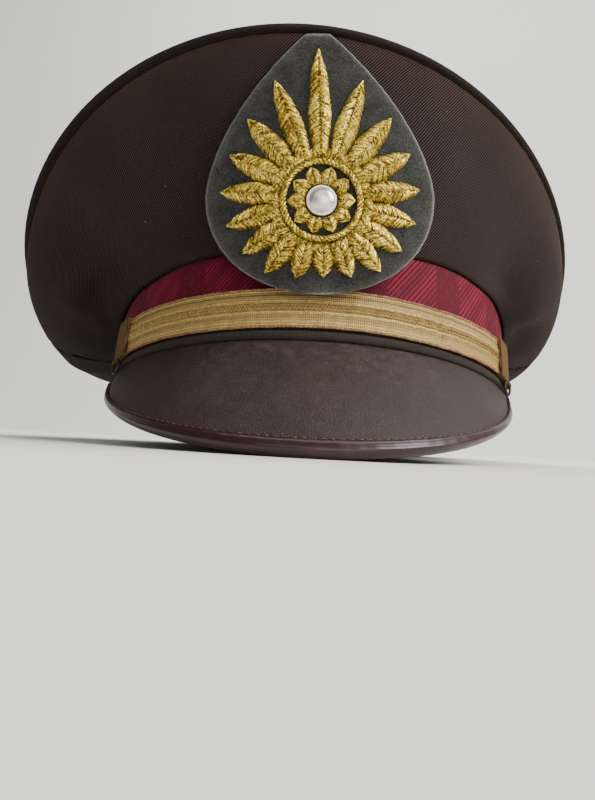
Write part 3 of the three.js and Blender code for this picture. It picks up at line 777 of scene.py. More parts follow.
lace_gap, lap = degrees_of(FIT), LAPPED["angle"]
lace_runs = {
    "long": (-LACE["end"] - lap, LACE["joint"] + lap, LACE["wall"]),
    "short": (LACE["joint"] + lace_gap, LACE["end"] + lap, LACE["wall"] + LACE["step"]),
}
gold_lace = lace_finish()
for run, (start, stop, wall) in lace_runs.items():
    share = (stop - start) / (2 * LACE["end"])
    base = sheet_of(f"lace_{run}", round(420 * share), 56, lace_place(start, stop, wall),
                    (LACE_LENGTH * share, LACE["height"]))
    give_wall(base, 0.8)
    finish_piece(base, gold_lace, "gold_lace", f"strap_lace_{run}")

# %% [markdown]
# ## Threads as small tubes
# A thread that is laid or stitched has a round body that catches light, which no bump can give.
# One circle is swept along each path; all the threads of a piece are made as one mesh, because
# they are hundreds of copies of one simple form with only a few faces each. The mesh keeps a number
# for each thread, its tone, so that no two threads look quite alike.

# %% Thread helper
def threads_mesh(name, threads, sides=5):
    """A tube for each thread of (points of the level cap, radius in millimetres), with its tone."""
    vertices, faces, lengths, tones = [], [], [], []
    dye = random.Random(len(threads))
    for points, radius in threads:
        points = [set_down(point) for point in points]
        tones += [dye.random()] * (len(points) * sides)
        base, travelled = len(vertices), 0.0
        side = (points[1] - points[0]).normalized().orthogonal().normalized()
        for i, point in enumerate(points):
            ahead = points[min(i + 1, len(points) - 1)] - points[max(i - 1, 0)]
            tangent = ahead.normalized()
            side = (side - tangent * side.dot(tangent)).normalized()
            other = tangent.cross(side)
            if i:
                travelled += (point - points[i - 1]).length
            for k in range(sides):
                s, c = sin_cos(360 * k / sides)
                vertices.append(point + (side * c + other * s) * radius * MM)
                lengths.append((travelled / MM, k))
        for i in range(len(points) - 1):
            for k in range(sides):
                a, b = base + i * sides + k, base + i * sides + (k + 1) % sides
                faces.append((a, b, b + sides, a + sides))
        faces.append(tuple(base + k for k in reversed(range(sides))))
        last = base + (len(points) - 1) * sides
        faces.append(tuple(last + k for k in range(sides)))
    mesh = bpy.data.meshes.new(name)
    mesh.from_pydata(vertices, [], faces)
    layer = mesh.uv_layers.new(name="UVMap")
    for corner in mesh.loops:
        layer.data[corner.index].uv = lengths[corner.vertex_index]
    mesh.attributes.new("tone", "FLOAT", "POINT").data.foreach_set("value", tones)
    mesh.validate()
    piece = bpy.data.objects.new(name, mesh)
    bpy.context.scene.collection.objects.link(piece)
    pick(piece)
    bpy.ops.object.shade_smooth_by_angle(angle=math.radians(60))
    print(name, len(threads), "threads")
    return piece


def thread_finish(name, light, dark, metallic, roughness, pitch=0.5):
    """Twisted yarn, with a pitch in millimetres."""
    yarn = Finish(name)
    _, along, around = yarn.flat()
    where = yarn.place()
    ply = (along + around * (pitch / 5)).wave(pitch)
    tone = yarn.attribute("tone")
    glint = yarn.noise(where, 1300, 1).step(0.45, 0.62)
    cloud = yarn.noise(where, 160, 2)
    shade = (tone * 0.5 + glint * 0.45 + cloud * 0.3 + ply * 0.1 - 0.15).step(0.0, 1.0)
    return yarn.drive(Base_Color=yarn.blend(shade, dark, light), Metallic=metallic + glint * 0.1,
                      Roughness=roughness + tone * 0.2, Normal=yarn.bump(ply + glint, 0.07, 0.7))


# %% Lace threads
edge_cord = thread_finish("edge_cord", paint(206, 150, 108), paint(112, 74, 46), 0.2, 0.5)
bright_line = thread_finish("bright_gilt", paint(246, 220, 142), paint(176, 140, 76), 0.5, 0.34)
# Each kind of thread, its colour, its radius and its levels up the lace.
LACE_THREADS = [
    ("edge", edge_cord, 0.3, (0.4, 13.6)),
    ("bright", bright_line, 0.13, (5.0, 5.45, 9.0, 9.45)),
    ("fine", bright_line, 0.12, (1.1, 2.2, 12.75)),
]


def lifted(point, lift):
    """A point moved straight out from the band's middle."""
    out = (point - Vector((0, HEAD["widest"], point.z))).normalized()
    return point + out * lift


def lace_line(place, level, radius, samples):
    """A thread along the lace, which rises and falls a little over the weave."""
    points = []
    for i in range(samples + 1):
        lift = radius * 0.3 + 0.03 * math.sin(i * math.pi / 2)
        points.append(lifted(place(i / samples, level / LACE["height"]), lift))
    return points, radius


for kind, colour, radius, levels in LACE_THREADS:
    threads = []
    for start, stop, wall in lace_runs.values():
        place, samples = lace_place(start, stop, wall), round((stop - start) * 2.4)
        threads += [lace_line(place, level, radius, samples) for level in levels]
    finish_piece(threads_mesh(f"lace_{kind}_threads", threads), colour, "gold_lace")

# %% Lace zigzag
ladder_thread = thread_finish("ladder_gilt", paint(224, 190, 112), paint(112, 80, 38), 0.45, 0.36)
threads = []
for start, stop, wall in lace_runs.values():
    place = lace_place(start, stop, wall)
    length = LACE_LENGTH * (stop - start) / (2 * LACE["end"])
    corners = round(length / ZIGZAG["pitch"] * 2)
    for row, level in enumerate(ZIGZAG["rows"]):
        points = []
        for i in range(corners + 1):
            side = ZIGZAG["height"] / 2 * (1 if (i + row) % 2 else -1)
            here = place(i / corners, (level + side) / LACE["height"])
            points.append(lifted(here, ZIGZAG["lift"]))
        threads.append((points, ZIGZAG["radius"]))
finish_piece(threads_mesh("lace_zigzag_threads", threads, sides=4), ladder_thread, "gold_lace")

# %% [markdown]
# ## Slides, strap ends and wire loops
# Each end of the strap passes under a slide of tan cloth folded over a stiffener. Its own end shows
# behind, and a small dark wire loop hangs from it. A bevelled cube would have to be bent round the
# band, so slides and strap ends are grids wrapped round a rounded section and closed at the ends.
# The loops are the CAD model's own, copied and made smooth.

# %% Slides and strap ends
slide_from = LACE["end"] + lace_gap
slide_to = slide_from + degrees_of(SLIDE["length"])
tab_from = slide_to + lace_gap
tab_to = tab_from + degrees_of(TAB["length"])
PLATE_COLUMNS = 28
# The share of its thickness that a plate has at its end, one column in and from there on.
PLATE_ENDS = (0, 0.85, 1)
OVER_WELT = {"out": 0.9, "within": 1.5, "dip": 2.6}

tan_cloth = twill("slide_cloth", paint(118, 92, 58), paint(72, 52, 30), 88, CORD_PITCH["plain"])


def rounded_plate(name, side, first, last, bottom_of, top_of, wall):
    """A thin plate round the band's side: a closed section that keeps its rounded edges."""
    def place(u, v):
        from_end = round(min(u, 1 - u) * PLATE_COLUMNS)
        share = min(1, max(0, (u * PLATE_COLUMNS - 1) / (PLATE_COLUMNS - 2)))
        angle = mix(first, last, share) * side
        low, high = bottom_of(share), top_of(share)
        s, c = sin_cos(v * 360)
        tall, thick = (high - low) / 2, wall / 2
        full = PLATE_ENDS[min(2, from_end)]
        level = (low + high) / 2 + tall * signed_power(s, 0.25) * min(1, from_end)
        soft = 0.08 * math.sin(angle * 2.1 + level * 0.4)
        over_welt = smooth((WELT["bottom"] + WELT["height"] - level) / OVER_WELT["within"])
        inside = STRAP_INNER + thick + OVER_WELT["out"] * over_welt
        return band_point(angle, level, inside + (thick * signed_power(c, 0.35) + soft) * full)
    piece = sheet_of(name, PLATE_COLUMNS, 48, place, ((last - first) * 1.5, 40))
    face_outwards(piece)
    return piece


lace_top = LACE["bottom"] + LACE["height"]
slide_bottom = LACE["bottom"] - SLIDE["overhang"] + FIT
for name, side in (("right", 1), ("left", -1)):
    slide_piece = rounded_plate(f"slide_{name}", side, slide_from, slide_to,
                                lambda u: slide_bottom - OVER_WELT["dip"] * smooth(u),
                                lambda u: lace_top + SLIDE["overhang"], SLIDE["wall"])
    finish_piece(slide_piece, tan_cloth, "slide_cloth", f"strap_slide_{name}")
    tab_piece = rounded_plate(f"strap_end_{name}", side, tab_from, tab_to,
                              lambda u: LACE["bottom"] + FIT,
                              lambda u: lace_top - TAB["drop"] * u, TAB["wall"])
    finish_piece(tab_piece, tan_cloth, "slide_cloth", f"strap_tab_{name}")

# %% Wire loops
def wire_finish():
    wire = Finish("dark_metal", Base_Color=paint(62, 56, 47), Metallic=0.9)
    return wire.drive(Roughness=0.3 + wire.noise(wire.place(), 900, 2) * 0.35)


dark_metal = wire_finish()
for name in ("right", "left"):
    pick(frame["nodes"][f"strap_loop_{name}"])
    bpy.ops.object.duplicate()
    wire = bpy.context.object
    wire.name = f"wire_loop_{name}"
    merge_doubles(wire)
    edit_all(wire, bpy.ops.mesh.tris_convert_to_quads)
    apply_modifier(wire, "SUBSURF", levels=2, render_levels=2)
    bpy.ops.object.shade_smooth()
    finish_piece(wire, dark_metal, "dark_metal", f"strap_loop_{name}")

# %% [markdown]
# ## The peak
# The peak is a stiff board covered in dark grained leathercloth. Its top is matt and dusty near the
# seam, with faint scratches along it. Its curve could be pushed into a flat plate by hand, but a
# peak is part of a cone, bent a little more steeply towards its edge, so two functions give it.

# %% Peak board
UNDER_WELT = 1.3
CORNER = {"step": 0.1, "share": 0.997}


def peak_point(angle, length, lift=0):
    """A point so far out along the peak from the band, lifted off the board's top."""
    foot = band_point(angle, 0, FIT + WELT["proud"] * 0.6)
    bend = math.radians(PEAK["edge_slope"] - PEAK["slope"])
    start = math.radians(PEAK["slope"])
    here = start + bend * length / PEAK["length"]
    radius = PEAK["length"] / bend
    forward = radius * (math.sin(here) - math.sin(start))
    down = radius * (math.cos(start) - math.cos(here))
    along = Vector((0, -math.cos(here), -math.sin(here)))
    step = band_point(angle + 1, 0, FIT) - band_point(angle - 1, 0, FIT)
    normal = -step.cross(along).normalized()
    return Vector((foot.x, foot.y - forward, foot.z - down)) + normal * lift


def from_middle(angle):
    """How far an angle lies from the peak's middle line, as a share of its half width."""
    return abs(band_point(angle, 0, FIT).x - PEAK["shift"]) / PEAK["half_width"]


def peak_reach(angle):
    """How far the peak reaches out at an angle."""
    share = max(0.003, 1 - from_middle(angle) ** PEAK["roundness"])
    return PEAK["length"] * share ** (1 / PEAK["roundness"])


def peak_corner(side):
    """The angle at which the peak's outline meets the band."""
    angle = PEAK["end"]
    while from_middle(angle * side) > CORNER["share"]:
        angle -= CORNER["step"]
    return angle * side


PEAK_FROM, PEAK_TO = peak_corner(-1), peak_corner(1)
print("the peak runs from", round(PEAK_FROM, 1), "to", round(PEAK_TO, 1), "degrees")


def peak_board_place(u, v):
    angle = mix(PEAK_FROM, PEAK_TO, u)
    inside = peak_reach(angle) - BINDING["wall"] - FIT
    ripple = 0.12 * math.sin(angle * 0.21 + 1.3) * math.sin(v * 3)
    return peak_point(angle, mix(inside, -UNDER_WELT, v), ripple)


board = sheet_of("peak_board", 220, 48, peak_board_place, (178, 52), PEAK["wall"])

# %% Leathercloth finish
# Levels up the board's UV map between which dust gathers towards the seam, then the place of the
# peak's middle along it, and how far from there the dust has gone and where it is thickest.
DUST = {"from": 26, "full": 50, "middle": 96, "gone": 58, "thick": 10}


def hide_finish():
    hide = Finish("peak_vinyl", Specular_IOR_Level=0.18)
    uv, along, up = hide.flat()
    where = hide.place()
    grain = hide.node("ShaderNodeTexVoronoi", {"feature": "DISTANCE_TO_EDGE"},
                      {"Vector": where, "Scale": 1100, "Randomness": 1.0})
    pebble = grain.step(0.02, 0.28)
    fine = hide.noise(where, 2600, 2)
    cloud = hide.noise(where, 38, 4, 0.6)
    seam_side = up.step(DUST["from"], DUST["full"])
    middle = (along - DUST["middle"]).maths("ABSOLUTE").step(DUST["gone"], DUST["thick"])
    dust = hide.noise(where, 300, 5, 0.8).step(0.4, 0.85) * (0.3 + seam_side * middle * 0.7)
    scratch = hide.noise(hide.scaled(uv, 0.045, 1.6), 1.0, 2, 0.6).step(0.66, 0.74)
    speck = hide.noise(where, 560, 1).step(0.83, 0.86)
    colour = hide.blend(cloud * 0.6 + pebble * 0.25, paint(32, 23, 21), paint(74, 61, 58))
    colour = hide.blend(dust * 0.36 + scratch * 0.2, colour, paint(118, 108, 104))
    colour = hide.blend(speck * 0.7, colour, paint(190, 182, 176))
    return hide.drive(Base_Color=colour, Roughness=0.5 + cloud * 0.14 + dust * 0.2 - scratch * 0.08,
                      Normal=hide.bump(pebble * 0.8 + fine * 0.6, 0.12, 0.8))


finish_piece(board, hide_finish(), "peak_vinyl", "peak")

# %% [markdown]
# ## The peak's binding
# A strip of glossy leathercloth is folded over the peak's edge and sewn through. It could be a
# curve swept along the edge, but its width has to shrink to nothing at the peak's corners, so it is
# a grid too. Its section is a soft U, fuller on top between its sewn edge and the fold, and turned
# in at that edge.

# %% Binding
FOLD = {"from": 0.36, "to": 0.64, "radius": 1.5}
PUFF, TURNED_IN = 0.18, 0.45


def binding_section(angle, v):
    """Length along the peak and lift off its top, round the fold from above to below."""
    reach = peak_reach(angle)
    width = min(BINDING["width"], reach * 0.6)
    half = PEAK["wall"] / 2 + FIT + BINDING["wall"]
    middle = -PEAK["wall"] / 2
    if v < FOLD["from"]:
        t = v / FOLD["from"]
        puff = PUFF * math.sin(math.pi * min(1, t * 1.1))
        turned_in = (FIT + TURNED_IN) * (1 - t) ** 3
        return reach - width + (width - FOLD["radius"]) * t, middle + half + puff - turned_in
    if v > FOLD["to"]:
        t = (v - FOLD["to"]) / (1 - FOLD["to"])
        return reach - FOLD["radius"] - (width - FOLD["radius"]) * t, middle - half
    s, c = sin_cos(mix(90, -90, (v - FOLD["from"]) / (FOLD["to"] - FOLD["from"])))
    return reach - FOLD["radius"] * (1 - c), middle + half * s


def binding_place(u, v):
    angle = mix(PEAK_FROM, PEAK_TO, u)
    length, lift = binding_section(angle, 1 - v)
    pull = 0.05 * math.sin(angle * 1.37 + 3 * v) * math.sin(angle * 0.5)
    return peak_point(angle, length, lift + pull * (1 if v > FOLD["from"] else 0))


def binding_finish():
    hide = Finish("binding_vinyl", Coat_Roughness=0.16, Specular_IOR_Level=0.4, Coat_Weight=0.12)
    uv = hide.flat()[0]
    where = hide.place()
    crease = hide.noise(hide.scaled(uv, 0.9, 0.35), 1.0, 3, 0.6)
    grain = hide.noise(where, 1400, 2)
    worn = hide.noise(where, 90, 3).step(0.5, 0.75)
    colour = hide.blend(crease * 0.6 + grain * 0.2, paint(24, 6, 10), paint(60, 26, 34))
    colour = hide.blend(worn * 0.25, colour, paint(92, 62, 66))
    return hide.drive(Base_Color=colour, Roughness=0.26 + worn * 0.14 + grain * 0.1,
                      Normal=hide.bump(crease + grain * 0.3, 0.1, 0.4))


binding = sheet_of("peak_binding_strip", 300, 40, binding_place, (200, 16))
give_wall(binding, 0.6)
finish_piece(binding, binding_finish(), "binding_vinyl", "peak_binding")

# %% Binding stitches
STITCH = {"pitch": 2.6, "length": 1.7, "radius": 0.2, "at": 0.16, "margin": 2, "lift": 0.06}
STITCH_BOW = (-0.25, 0.05, 0.12, 0.05, -0.25)
STEP_AHEAD = 0.05
stitch_thread = thread_finish("binding_thread", paint(98, 76, 72), paint(46, 30, 30),
                              0.0, 0.55, 0.4)


def on_binding(angle, lift):
    """A point on the binding's stitch line, lifted off it."""
    length, face = binding_section(angle, FOLD["from"] * STITCH["at"])
    return peak_point(angle, length, face + lift)


threads, angle = [], PEAK_FROM + STITCH["margin"]
while angle < PEAK_TO - STITCH["margin"]:
    ahead, here = angle, on_binding(angle, STITCH["lift"])
    while (on_binding(ahead, STITCH["lift"]) - here).length < STITCH["length"]:
        ahead += STEP_AHEAD
    points = [on_binding(mix(angle, ahead, i / 4), bow) for i, bow in enumerate(STITCH_BOW)]
    threads.append((points, STITCH["radius"]))
    angle += (ahead - angle) * STITCH["pitch"] / STITCH["length"]
finish_piece(threads_mesh("binding_stitches", threads), stitch_thread, "binding_vinyl")

# %% [markdown]
# ## Felt badge
# The badge is a drop of stiff grey felt with a paler cut edge. Its face is painted lighter towards
# that edge, a painted highlight that is brightest right along it. It stands on the strap, leans
# back with the cap's front and is a little turned, as if sewn on by hand. A flat drop could be
# extruded and bent, but here every point of the badge, and later of its embroidery, comes from one
# function.

# %% Badge outline
def badge_half_width(share):
    half = BADGE["width"] / 2
    if share < BADGE["widest_share"]:
        return half * math.sqrt(max(0.0, 1 - (1 - share / BADGE["widest_share"]) ** 2))
    rest = (share - BADGE["widest_share"]) / (1 - BADGE["widest_share"])
    return mix(half, BADGE["tip"], rest ** BADGE["taper"])


def reach_at(across, half, reach, roundness):
    """How far a squared ellipse reaches forward at a distance across it."""
    return reach * (1 - min(0.98, abs(across) / half) ** roundness) ** (1 / roundness)


def badge_point(u, v, h):
    """u across and v up the badge from its foot, h out of its back."""
    s, c = sin_cos(BADGE["lean"])
    x = BADGE["centre"] + u * c - (v - BADGE["height"] / 2) * s
    rise = (v * c + u * s) / BADGE["height"]
    strap_front = STRAP_INNER + LACE["wall"] + FIT
    low_half = HEAD["width"] / 2 + BAND["wall"] + strap_front
    low_reach = HEAD["length"] / 2 + BAND["wall"] + strap_front
    high_half = CROWN["width"] / 2 + PIPING_RADIUS
    high_reach = CROWN["front"] + PIPING_RADIUS + FIT
    low = reach_at(x, low_half, low_reach, HEAD["roundness"])
    high = reach_at(x - CROWN["shift"], high_half, high_reach, CROWN["roundness"])
    top_level = CROWN_HEIGHT["front"] + FIT / 2
    back = math.atan2(high_reach - low_reach, top_level - BADGE["foot"])
    y = -mix(low, high, rise) - BADGE["bow"] * 4 * rise * (1 - rise)
    z = mix(BADGE["foot"], top_level, rise)
    return Vector((x, y - h * math.cos(back), z - h * math.sin(back)))


print("badge widest at, mm up:", round(BADGE["height"] * BADGE["widest_share"], 1))

# %% Felt badge
FELT = {"board": 0.4, "rounding": 0.35, "rounded": 1.2, "rim": 2.2}


def felt_finish(name, light, dark):
    felt = Finish(name, Sheen_Weight=0.04, Sheen_Roughness=0.6, Specular_IOR_Level=0.06)
    where = felt.place()
    fuzz = felt.noise(where, 1500, 4, 0.8).step(0.25, 0.75)
    cloud = felt.noise(where, 150, 4, 0.6).step(0.3, 0.7)
    hair = felt.noise(felt.scaled(where, 1, 1, 2.4), 520, 3, 0.75).step(0.56, 0.72)
    # Nearness to the badge's edge, where the face is painted lighter as a highlight.
    rim = felt.attribute("rim")
    edge_highlight = rim.step(0.0, 1.0)
    colour = felt.blend(fuzz * 0.6 + cloud * 0.3 + edge_highlight * 0.25, dark, light)
    colour = felt.blend(hair * 0.32 + edge_highlight * fuzz * 0.35, colour, paint(118, 114, 110))
    # Painted highlight: a thin light line right along the edge.
    colour = felt.blend(rim.step(0.62, 0.95) * (fuzz * 0.5 + 0.3), colour, paint(150, 146, 141))
    return felt.drive(Base_Color=colour, Roughness=0.95 - fuzz * 0.1,
                      Normal=felt.bump(fuzz + hair * 0.6, 0.3, 0.9))


def badge_share(v):
    """Rows lie closer together at the badge's foot and tip, where its outline turns."""
    return (1 - math.cos(math.pi * v)) / 2


def badge_place(u, v):
    share, side = badge_share(v), (u - 0.5) * 2
    half = badge_half_width(share)
    ragged = 0.12 * math.sin(share * 61 + side * 2) + 0.08 * math.sin(share * 143)
    across = side * half + math.copysign(ragged, side) * abs(side) ** 8
    from_edge = min(1, max(0.0, 1 - abs(side)) * half / FELT["rounded"])
    face = BADGE["wall"] - FELT["rounding"] * (1 - from_edge) ** 2
    return badge_point(across, share * BADGE["height"], face)


badge = sheet_of("felt_badge", 80, 110, badge_place, (BADGE["width"], BADGE["height"]))
# How near each corner lies to the badge's edge, for the painted highlight there.
rims = []
for corner in badge.data.uv_layers.active.data:
    across, share = corner.uv[0] / BADGE["width"], badge_share(corner.uv[1] / BADGE["height"])
    inward = (1 - abs(2 * across - 1)) * badge_half_width(share)
    from_rim = min(inward, share * BADGE["height"], (1 - share) * BADGE["height"])
    rims.append(math.exp(-from_rim / FELT["rim"]))
badge.data.attributes.new("rim", "FLOAT", "CORNER").data.foreach_set("value", rims)
grey_felt = felt_finish("felt", paint(78, 77, 73), paint(18, 18, 18))
finish_piece(badge, grey_felt, "felt", "badge_felt")
badge.data.materials.append(felt_finish("felt_edge", paint(120, 114, 108), paint(58, 54, 50)))
give_wall(badge, BADGE["wall"] - FELT["board"], rim_slot=1)

# %% [markdown]
# ## Padded leaves
# Gold embroidery is worked over padding. Eighteen leaves spread from a rope ring and follow the
# badge's outline, and a small rosette of ten petals lies inside the ring. A leaf could be a scaled
# sphere, but a grid gives it a pointed tip and a groove down its middle, and the stitches that come
# next lie on the same function.

# %% Leaf mounds
EMBROIDERY_FOOT = BADGE["wall"] + 0.05
LEAF_STEP = 0.25
# Share of a leaf's length, then its half width and height there, as shares of the full ones.
LEAF_SHAPE = [(0, 0.5, 0.4), (0.4, 1, 1), (0.75, 0.7, 0.85), (1, 0.05, 0.2)]


def leaf_section(share):
    """Half width and height at a share of a leaf's length, rounder at its foot than at its tip."""
    above = next(i for i in range(1, len(LEAF_SHAPE)) if LEAF_SHAPE[i][0] >= share - 1e-9)
    a, b = LEAF_SHAPE[above - 1], LEAF_SHAPE[above]
    t = (share - a[0]) / (b[0] - a[0])
    if above == 1:
        t = math.sin(t * math.pi / 2)
    elif above == 3:
        t = t ** 1.25
    return mix(a[1], b[1], t), mix(a[2], b[2], t)


def leaf_point(leaf, share, side, lift=0.0):
    """side runs from -1 to 1 across the leaf."""
    turn, start, stop, width, relief, base = leaf
    wide, high = leaf_section(min(1, max(0, share)))
    radius, across = mix(start, stop, share), width / 2 * wide * side
    x = across * math.cos(turn) + radius * math.sin(turn)
    y = -across * math.sin(turn) + radius * math.cos(turn)
    groove = 0.25 * math.exp(-(side / 0.14) ** 2)
    top = base + (relief - base) * high - groove
    rise = top * math.sqrt(max(0, 1 - abs(side) ** 2.6))
    return badge_point(x, ROPE["height"] + y, EMBROIDERY_FOOT + rise + lift)


def leaf_reach(turn):
    """How far out a leaf may run before it comes too near the badge's outline."""
    def inside(radius):
        v = ROPE["height"] + radius * math.cos(turn)
        share, margin = v / BADGE["height"], BURST["margin"]
        half = badge_half_width(share) if 0 < share < 1 else 0
        narrow = abs(radius * math.sin(turn)) < half - margin
        return narrow and margin < v < BADGE["height"] - margin
    radius = ROPE["radius"]
    while inside(radius + LEAF_STEP):
        radius += LEAF_STEP
    return radius


def leaves_round(sizes, count, first, start, stop_of):
    """Each leaf is its turn, its two ends, its width, its relief and its base."""
    turns = [2 * math.pi * (i + first) / count for i in range(count)]
    return [(turn, start, stop_of(turn), sizes["width"], sizes["relief"], sizes["base"])
            for turn in turns]


hub = ROPE["radius"] + ROPE["wire"] / 2 + FIT
leaves = leaves_round(BURST, BURST["leaves"], 0, hub + BURST["hub"] * 0.3, leaf_reach)
petals = leaves_round(ROSETTE, ROSETTE["petals"], 0.5, ROSETTE["inner"],
                      lambda turn: ROSETTE["outer"])


def mounds(name, group):
    """One mesh of low mounds, a little under where the stitches will lie."""
    parts = [sheet_of(f"{name}_{i}", 10, 16,
                      lambda u, v, leaf=leaf: leaf_point(leaf, v, u * 2 - 1, -0.12), (4, 20))
             for i, leaf in enumerate(group)]
    pick(parts[0])
    for part in parts:
        part.select_set(True)
    bpy.ops.object.join()
    parts[0].name = name
    return parts[0]


padding = thread_finish("gold_padding", paint(150, 100, 22), paint(58, 34, 6), 0.5, 0.5)
for name, group in (("burst", leaves), ("rosette", petals)):
    pad = finish_piece(mounds(f"{name}_padding", group), padding, "gold_thread", f"emblem_{name}")

# %% [markdown]
# ## Satin stitch
# Gilt thread is laid over each mound in slanting stitches that meet in a groove down the middle.
# Lines of bump would look drawn on, so every stitch is a thread of its own, with a little chance in
# its slant, height and thickness.

# %% Satin stitch
gold_thread = thread_finish("gold_thread", paint(255, 232, 108), paint(112, 78, 16),
                            0.86, 0.2, 0.42)
chance = random.Random(7)
SATIN = {"pitch": 0.44, "radius": 0.25, "slant": 2.6, "points": 6, "tuck": 0.35, "shortest": 0.6}


def satin(leaf, density=1.0):
    length = leaf[2] - leaf[1]
    count = max(6, round(length / SATIN["pitch"] * density))
    last = SATIN["points"] - 1
    threads = []
    for side in (-1, 1):
        for i in range(count):
            share = (i + chance.uniform(-0.3, 0.3)) / count
            radius = SATIN["radius"] * chance.uniform(0.82, 1.2)
            slant = SATIN["slant"] * chance.uniform(0.75, 1.25) / length
            lift = chance.uniform(-0.05, 0.12) + radius * 0.35
            points = []
            for k in range(SATIN["points"]):
                t = k / last
                at = min(1.0, max(0.0, share + slant * (0.55 - t)))
                across = min(1, mix(0.02, 1.03, t)) * side
                down = SATIN["tuck"] if k in (0, last) else 0
                points.append(leaf_point(leaf, at, across, lift - down))
            if (points[-1] - points[0]).length > SATIN["shortest"]:
                threads.append((points, radius))
    return threads


for name, group, density in (("burst", leaves, 1.0), ("rosette", petals, 1.25)):
    threads = [thread for leaf in group for thread in satin(leaf, density)]
    finish_piece(threads_mesh(f"{name}_stitches", threads), gold_thread, "gold_thread")

# %% [markdown]
# ## Rope ring, hub and boss
# The ring is a cord of three strands twisted together. Round it, short radial stitches hide the
# leaves' ends. In the middle sits a plain domed boss of white metal. The strands follow a helix
# bent round the ring. The boss could be spun, but a grid run round its section fits the same maths.

# %% Rope ring
STRANDS = {"count": 3, "turns": 19, "samples": 260, "apart": 0.56, "radius": 0.6, "height": 1.15}


def ring_point(radius, turn, lift):
    return badge_point(radius * math.sin(turn), ROPE["height"] + radius * math.cos(turn),
                       EMBROIDERY_FOOT + lift)


threads = []
for strand in range(STRANDS["count"]):
    points = []
    for i in range(STRANDS["samples"] + 1):
        turn = 2 * math.pi * i / STRANDS["samples"]
        phase = STRANDS["turns"] * turn + 2 * math.pi * strand / STRANDS["count"]
        radius = ROPE["radius"] + STRANDS["apart"] * math.cos(phase)
        lift = STRANDS["height"] + STRANDS["apart"] * math.sin(phase)
        points.append(ring_point(radius, turn, lift))
    threads.append((points, STRANDS["radius"]))
finish_piece(threads_mesh("rope_ring", threads, sides=9), gold_thread, "gold_thread", "emblem_rope")

# %% Hub stitches
# Inner and outer radius and number of the stitches in each ring of them.
HUB_RINGS = [(hub - 0.4, hub + BURST["hub"] - 0.5, 190),
             (ROSETTE["inner"] - 0.3, ROSETTE["inner"] + 1.8, 84)]
HUB_STITCH = {"radius": 0.26, "slant": 0.02, "lifts": (0.0, 0.6, 0.85, 0.8, 0.1)}
threads = []
for inner, outer, count in HUB_RINGS:
    for i in range(count):
        turn = 2 * math.pi * (i + chance.uniform(-0.25, 0.25)) / count
        points = []
        for k, lift in enumerate(HUB_STITCH["lifts"]):
            radius = mix(inner, outer + chance.uniform(-0.25, 0.25), k / 4)
            points.append(ring_point(radius, turn + HUB_STITCH["slant"] * k, lift))
        threads.append((points, HUB_STITCH["radius"]))
finish_piece(threads_mesh("hub_stitches", threads), gold_thread, "gold_thread")

# %% Boss
# Radius and height of the boss's section, from the top of its dome to the middle of its foot.
BOSS_SECTION = [(0, 2.4), (1.6, 2.3), (3.0, 1.85), (3.9, 1.2), (4.15, 1.0), (4.3, 1.15),
                (4.75, 1.15), (4.95, 0.95), (4.95, 0.15), (0, 0.15)]


def boss_finish():
    metal = Finish("white_metal", Metallic=0.85)
    where = metal.place()
    brushed = metal.noise(metal.scaled(where, 1, 1, 6), 900, 3)
    tarnish = metal.noise(where, 260, 3).step(0.45, 0.75)
    colour = metal.blend(tarnish * 0.5, paint(226, 221, 210), paint(176, 166, 148))
    return metal.drive(Base_Color=colour, Roughness=0.28 + tarnish * 0.2,
                       Normal=metal.bump(brushed, 0.03, 0.5))


def boss_place(u, v):
    radius, lift = on_section(BOSS_SECTION, v)
    return ring_point(radius, 2 * math.pi * u, lift)


boss = sheet_of("boss_dome", 48, 36, boss_place, (30, 10))
face_outwards(boss)
bpy.ops.object.shade_smooth_by_angle(angle=math.radians(40))
finish_piece(boss, boss_finish(), "white_metal", "emblem_boss")

# %% [markdown]
# ## Table, light and camera
# The cap stands on a plain pale table that curves up behind it, so that no edge shows. Two planes
# and a bevel would do, but a grid laid along one section is a single smooth sheet. Soft light comes
# from above and from the right, and the camera looks slightly up at the cap, as in the photograph,
# but from just above the table.

# %% Table
TABLE = {"front": -4.0, "back": 0.75, "half_width": 4.0, "height": 2.4, "curve": 0.5}


def table_place(v):
    """Depth and height along the table's section, from its front edge up to the backdrop's top."""
    flat = TABLE["back"] - TABLE["front"]
    bend = TABLE["curve"] * math.pi / 2
    run = v * (flat + bend + TABLE["height"])
    if run < flat:
        return TABLE["front"] + run, 0.0
    if run < flat + bend:
        s, c = sin_cos(math.degrees((run - flat) / TABLE["curve"]))
        return TABLE["back"] + TABLE["curve"] * s, TABLE["curve"] * (1 - c)
    return TABLE["back"] + TABLE["curve"], TABLE["curve"] + run - flat - bend


def table_finish():
    pale = Finish("table", Specular_IOR_Level=0.2)
    cloud = pale.noise(pale.place(), 3, 3)
    colour = pale.blend(cloud, paint(232, 230, 226), paint(222, 221, 219))
    return pale.drive(Base_Color=colour, Roughness=0.7 + cloud * 0.1)


deselect()
bpy.ops.mesh.primitive_grid_add(x_subdivisions=8, y_subdivisions=60, size=1)
table = bpy.context.object
table.name = "table"
for vertex in table.data.vertices:
    y, z = table_place(vertex.co.y + 0.5)
    vertex.co = (vertex.co.x * 2 * TABLE["half_width"], y, z)
bpy.ops.object.shade_smooth()
table.data.materials.append(table_finish())
print("table, m:", [round(n, 2) for n in table.dimensions])

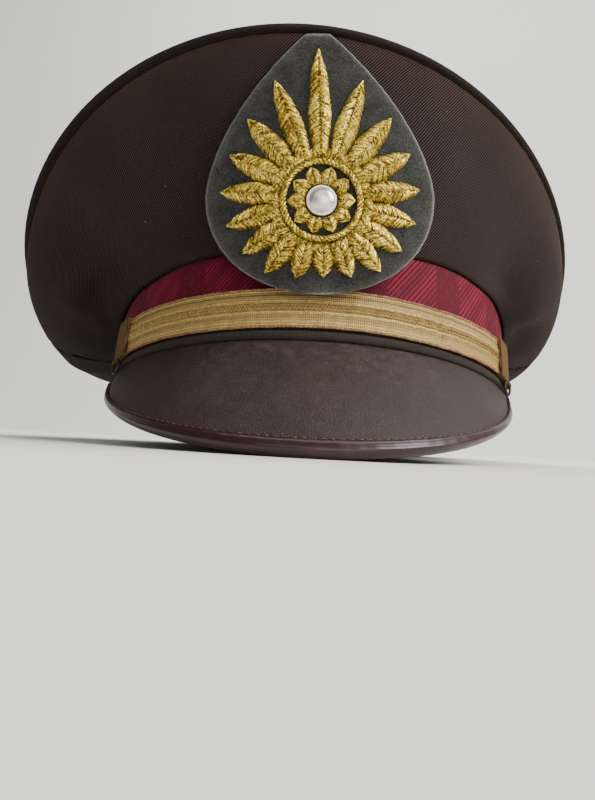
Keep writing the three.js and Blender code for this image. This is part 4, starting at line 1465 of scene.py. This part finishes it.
# %% Light
def soft_light(name, at, size, watts, colour=(1, 1, 1), aim=(0, 0, 0.06)):
    deselect()
    bpy.ops.object.light_add(type="AREA", location=at)
    light = bpy.context.object
    light.name = name
    light.data.shape = "RECTANGLE"
    light.data.size, light.data.size_y = size
    light.data.energy = watts
    light.data.color = colour
    light.rotation_euler = (Vector(aim) - Vector(at)).to_track_quat("-Z", "Y").to_euler()


soft_light("key_light", (0.95, -0.45, 0.8), (0.8, 0.8), 26, (1, 0.98, 0.95))
soft_light("fill_light", (-0.15, -1.3, 0.95), (1.2, 1.2), 6.0, (1, 0.97, 0.93))
soft_light("top_light", (0.1, 0.3, 1.3), (1.2, 1.0), 11.5)
soft_light("low_front", (0.5, -1.3, 0.25), (1.0, 0.5), 5)
soft_light("backdrop_light", (0.4, 0.55, 1.5), (1.6, 0.4), 15, (0.95, 0.98, 1), (0.4, 1.2, 0.4))
world = bpy.context.scene.world or bpy.data.worlds.new("World")
bpy.context.scene.world = world
world.use_nodes = True
backdrop = world.node_tree.nodes["Background"]
backdrop.inputs["Color"].default_value = (0.9, 0.94, 1, 1)
backdrop.inputs["Strength"].default_value = 0.17

# %% Camera
# Its place and axes in the level cap's frame, in millimetres, as fitted to the photograph. The
# focal length is in pixels, of which the photograph's long side has 800.
EYE = Vector((-5.0, -332.9, -79.5))
RIGHT, UP = Vector((0.9985, -0.0139, 0.0529)), Vector((-0.0547, -0.2473, 0.9674))
FOCAL, LONG_SIDE = 739.77, 800
# From there it is raised by so many degrees round a point of the cap, to stand above the table.
RAISED = math.radians(1.1)
ORBIT_CENTRE = Vector((0, 0, 0.07))

orbit = Matrix.Rotation(-RAISED, 3, "X")
axes = Matrix((RIGHT, UP, RIGHT.cross(UP))).transposed()
eye = orbit @ (set_down(EYE) - ORBIT_CENTRE) + ORBIT_CENTRE
deselect()
bpy.ops.object.camera_add()
camera = bpy.context.object
camera.matrix_world = Matrix.Translation(eye) @ (orbit @ lean @ axes).to_4x4()
camera.data.sensor_width = 36
camera.data.lens = FOCAL * camera.data.sensor_width / LONG_SIDE
camera.data.clip_start = 0.001
bpy.context.scene.camera = camera
print("camera height above the table, mm:", round(eye.z / MM, 1))
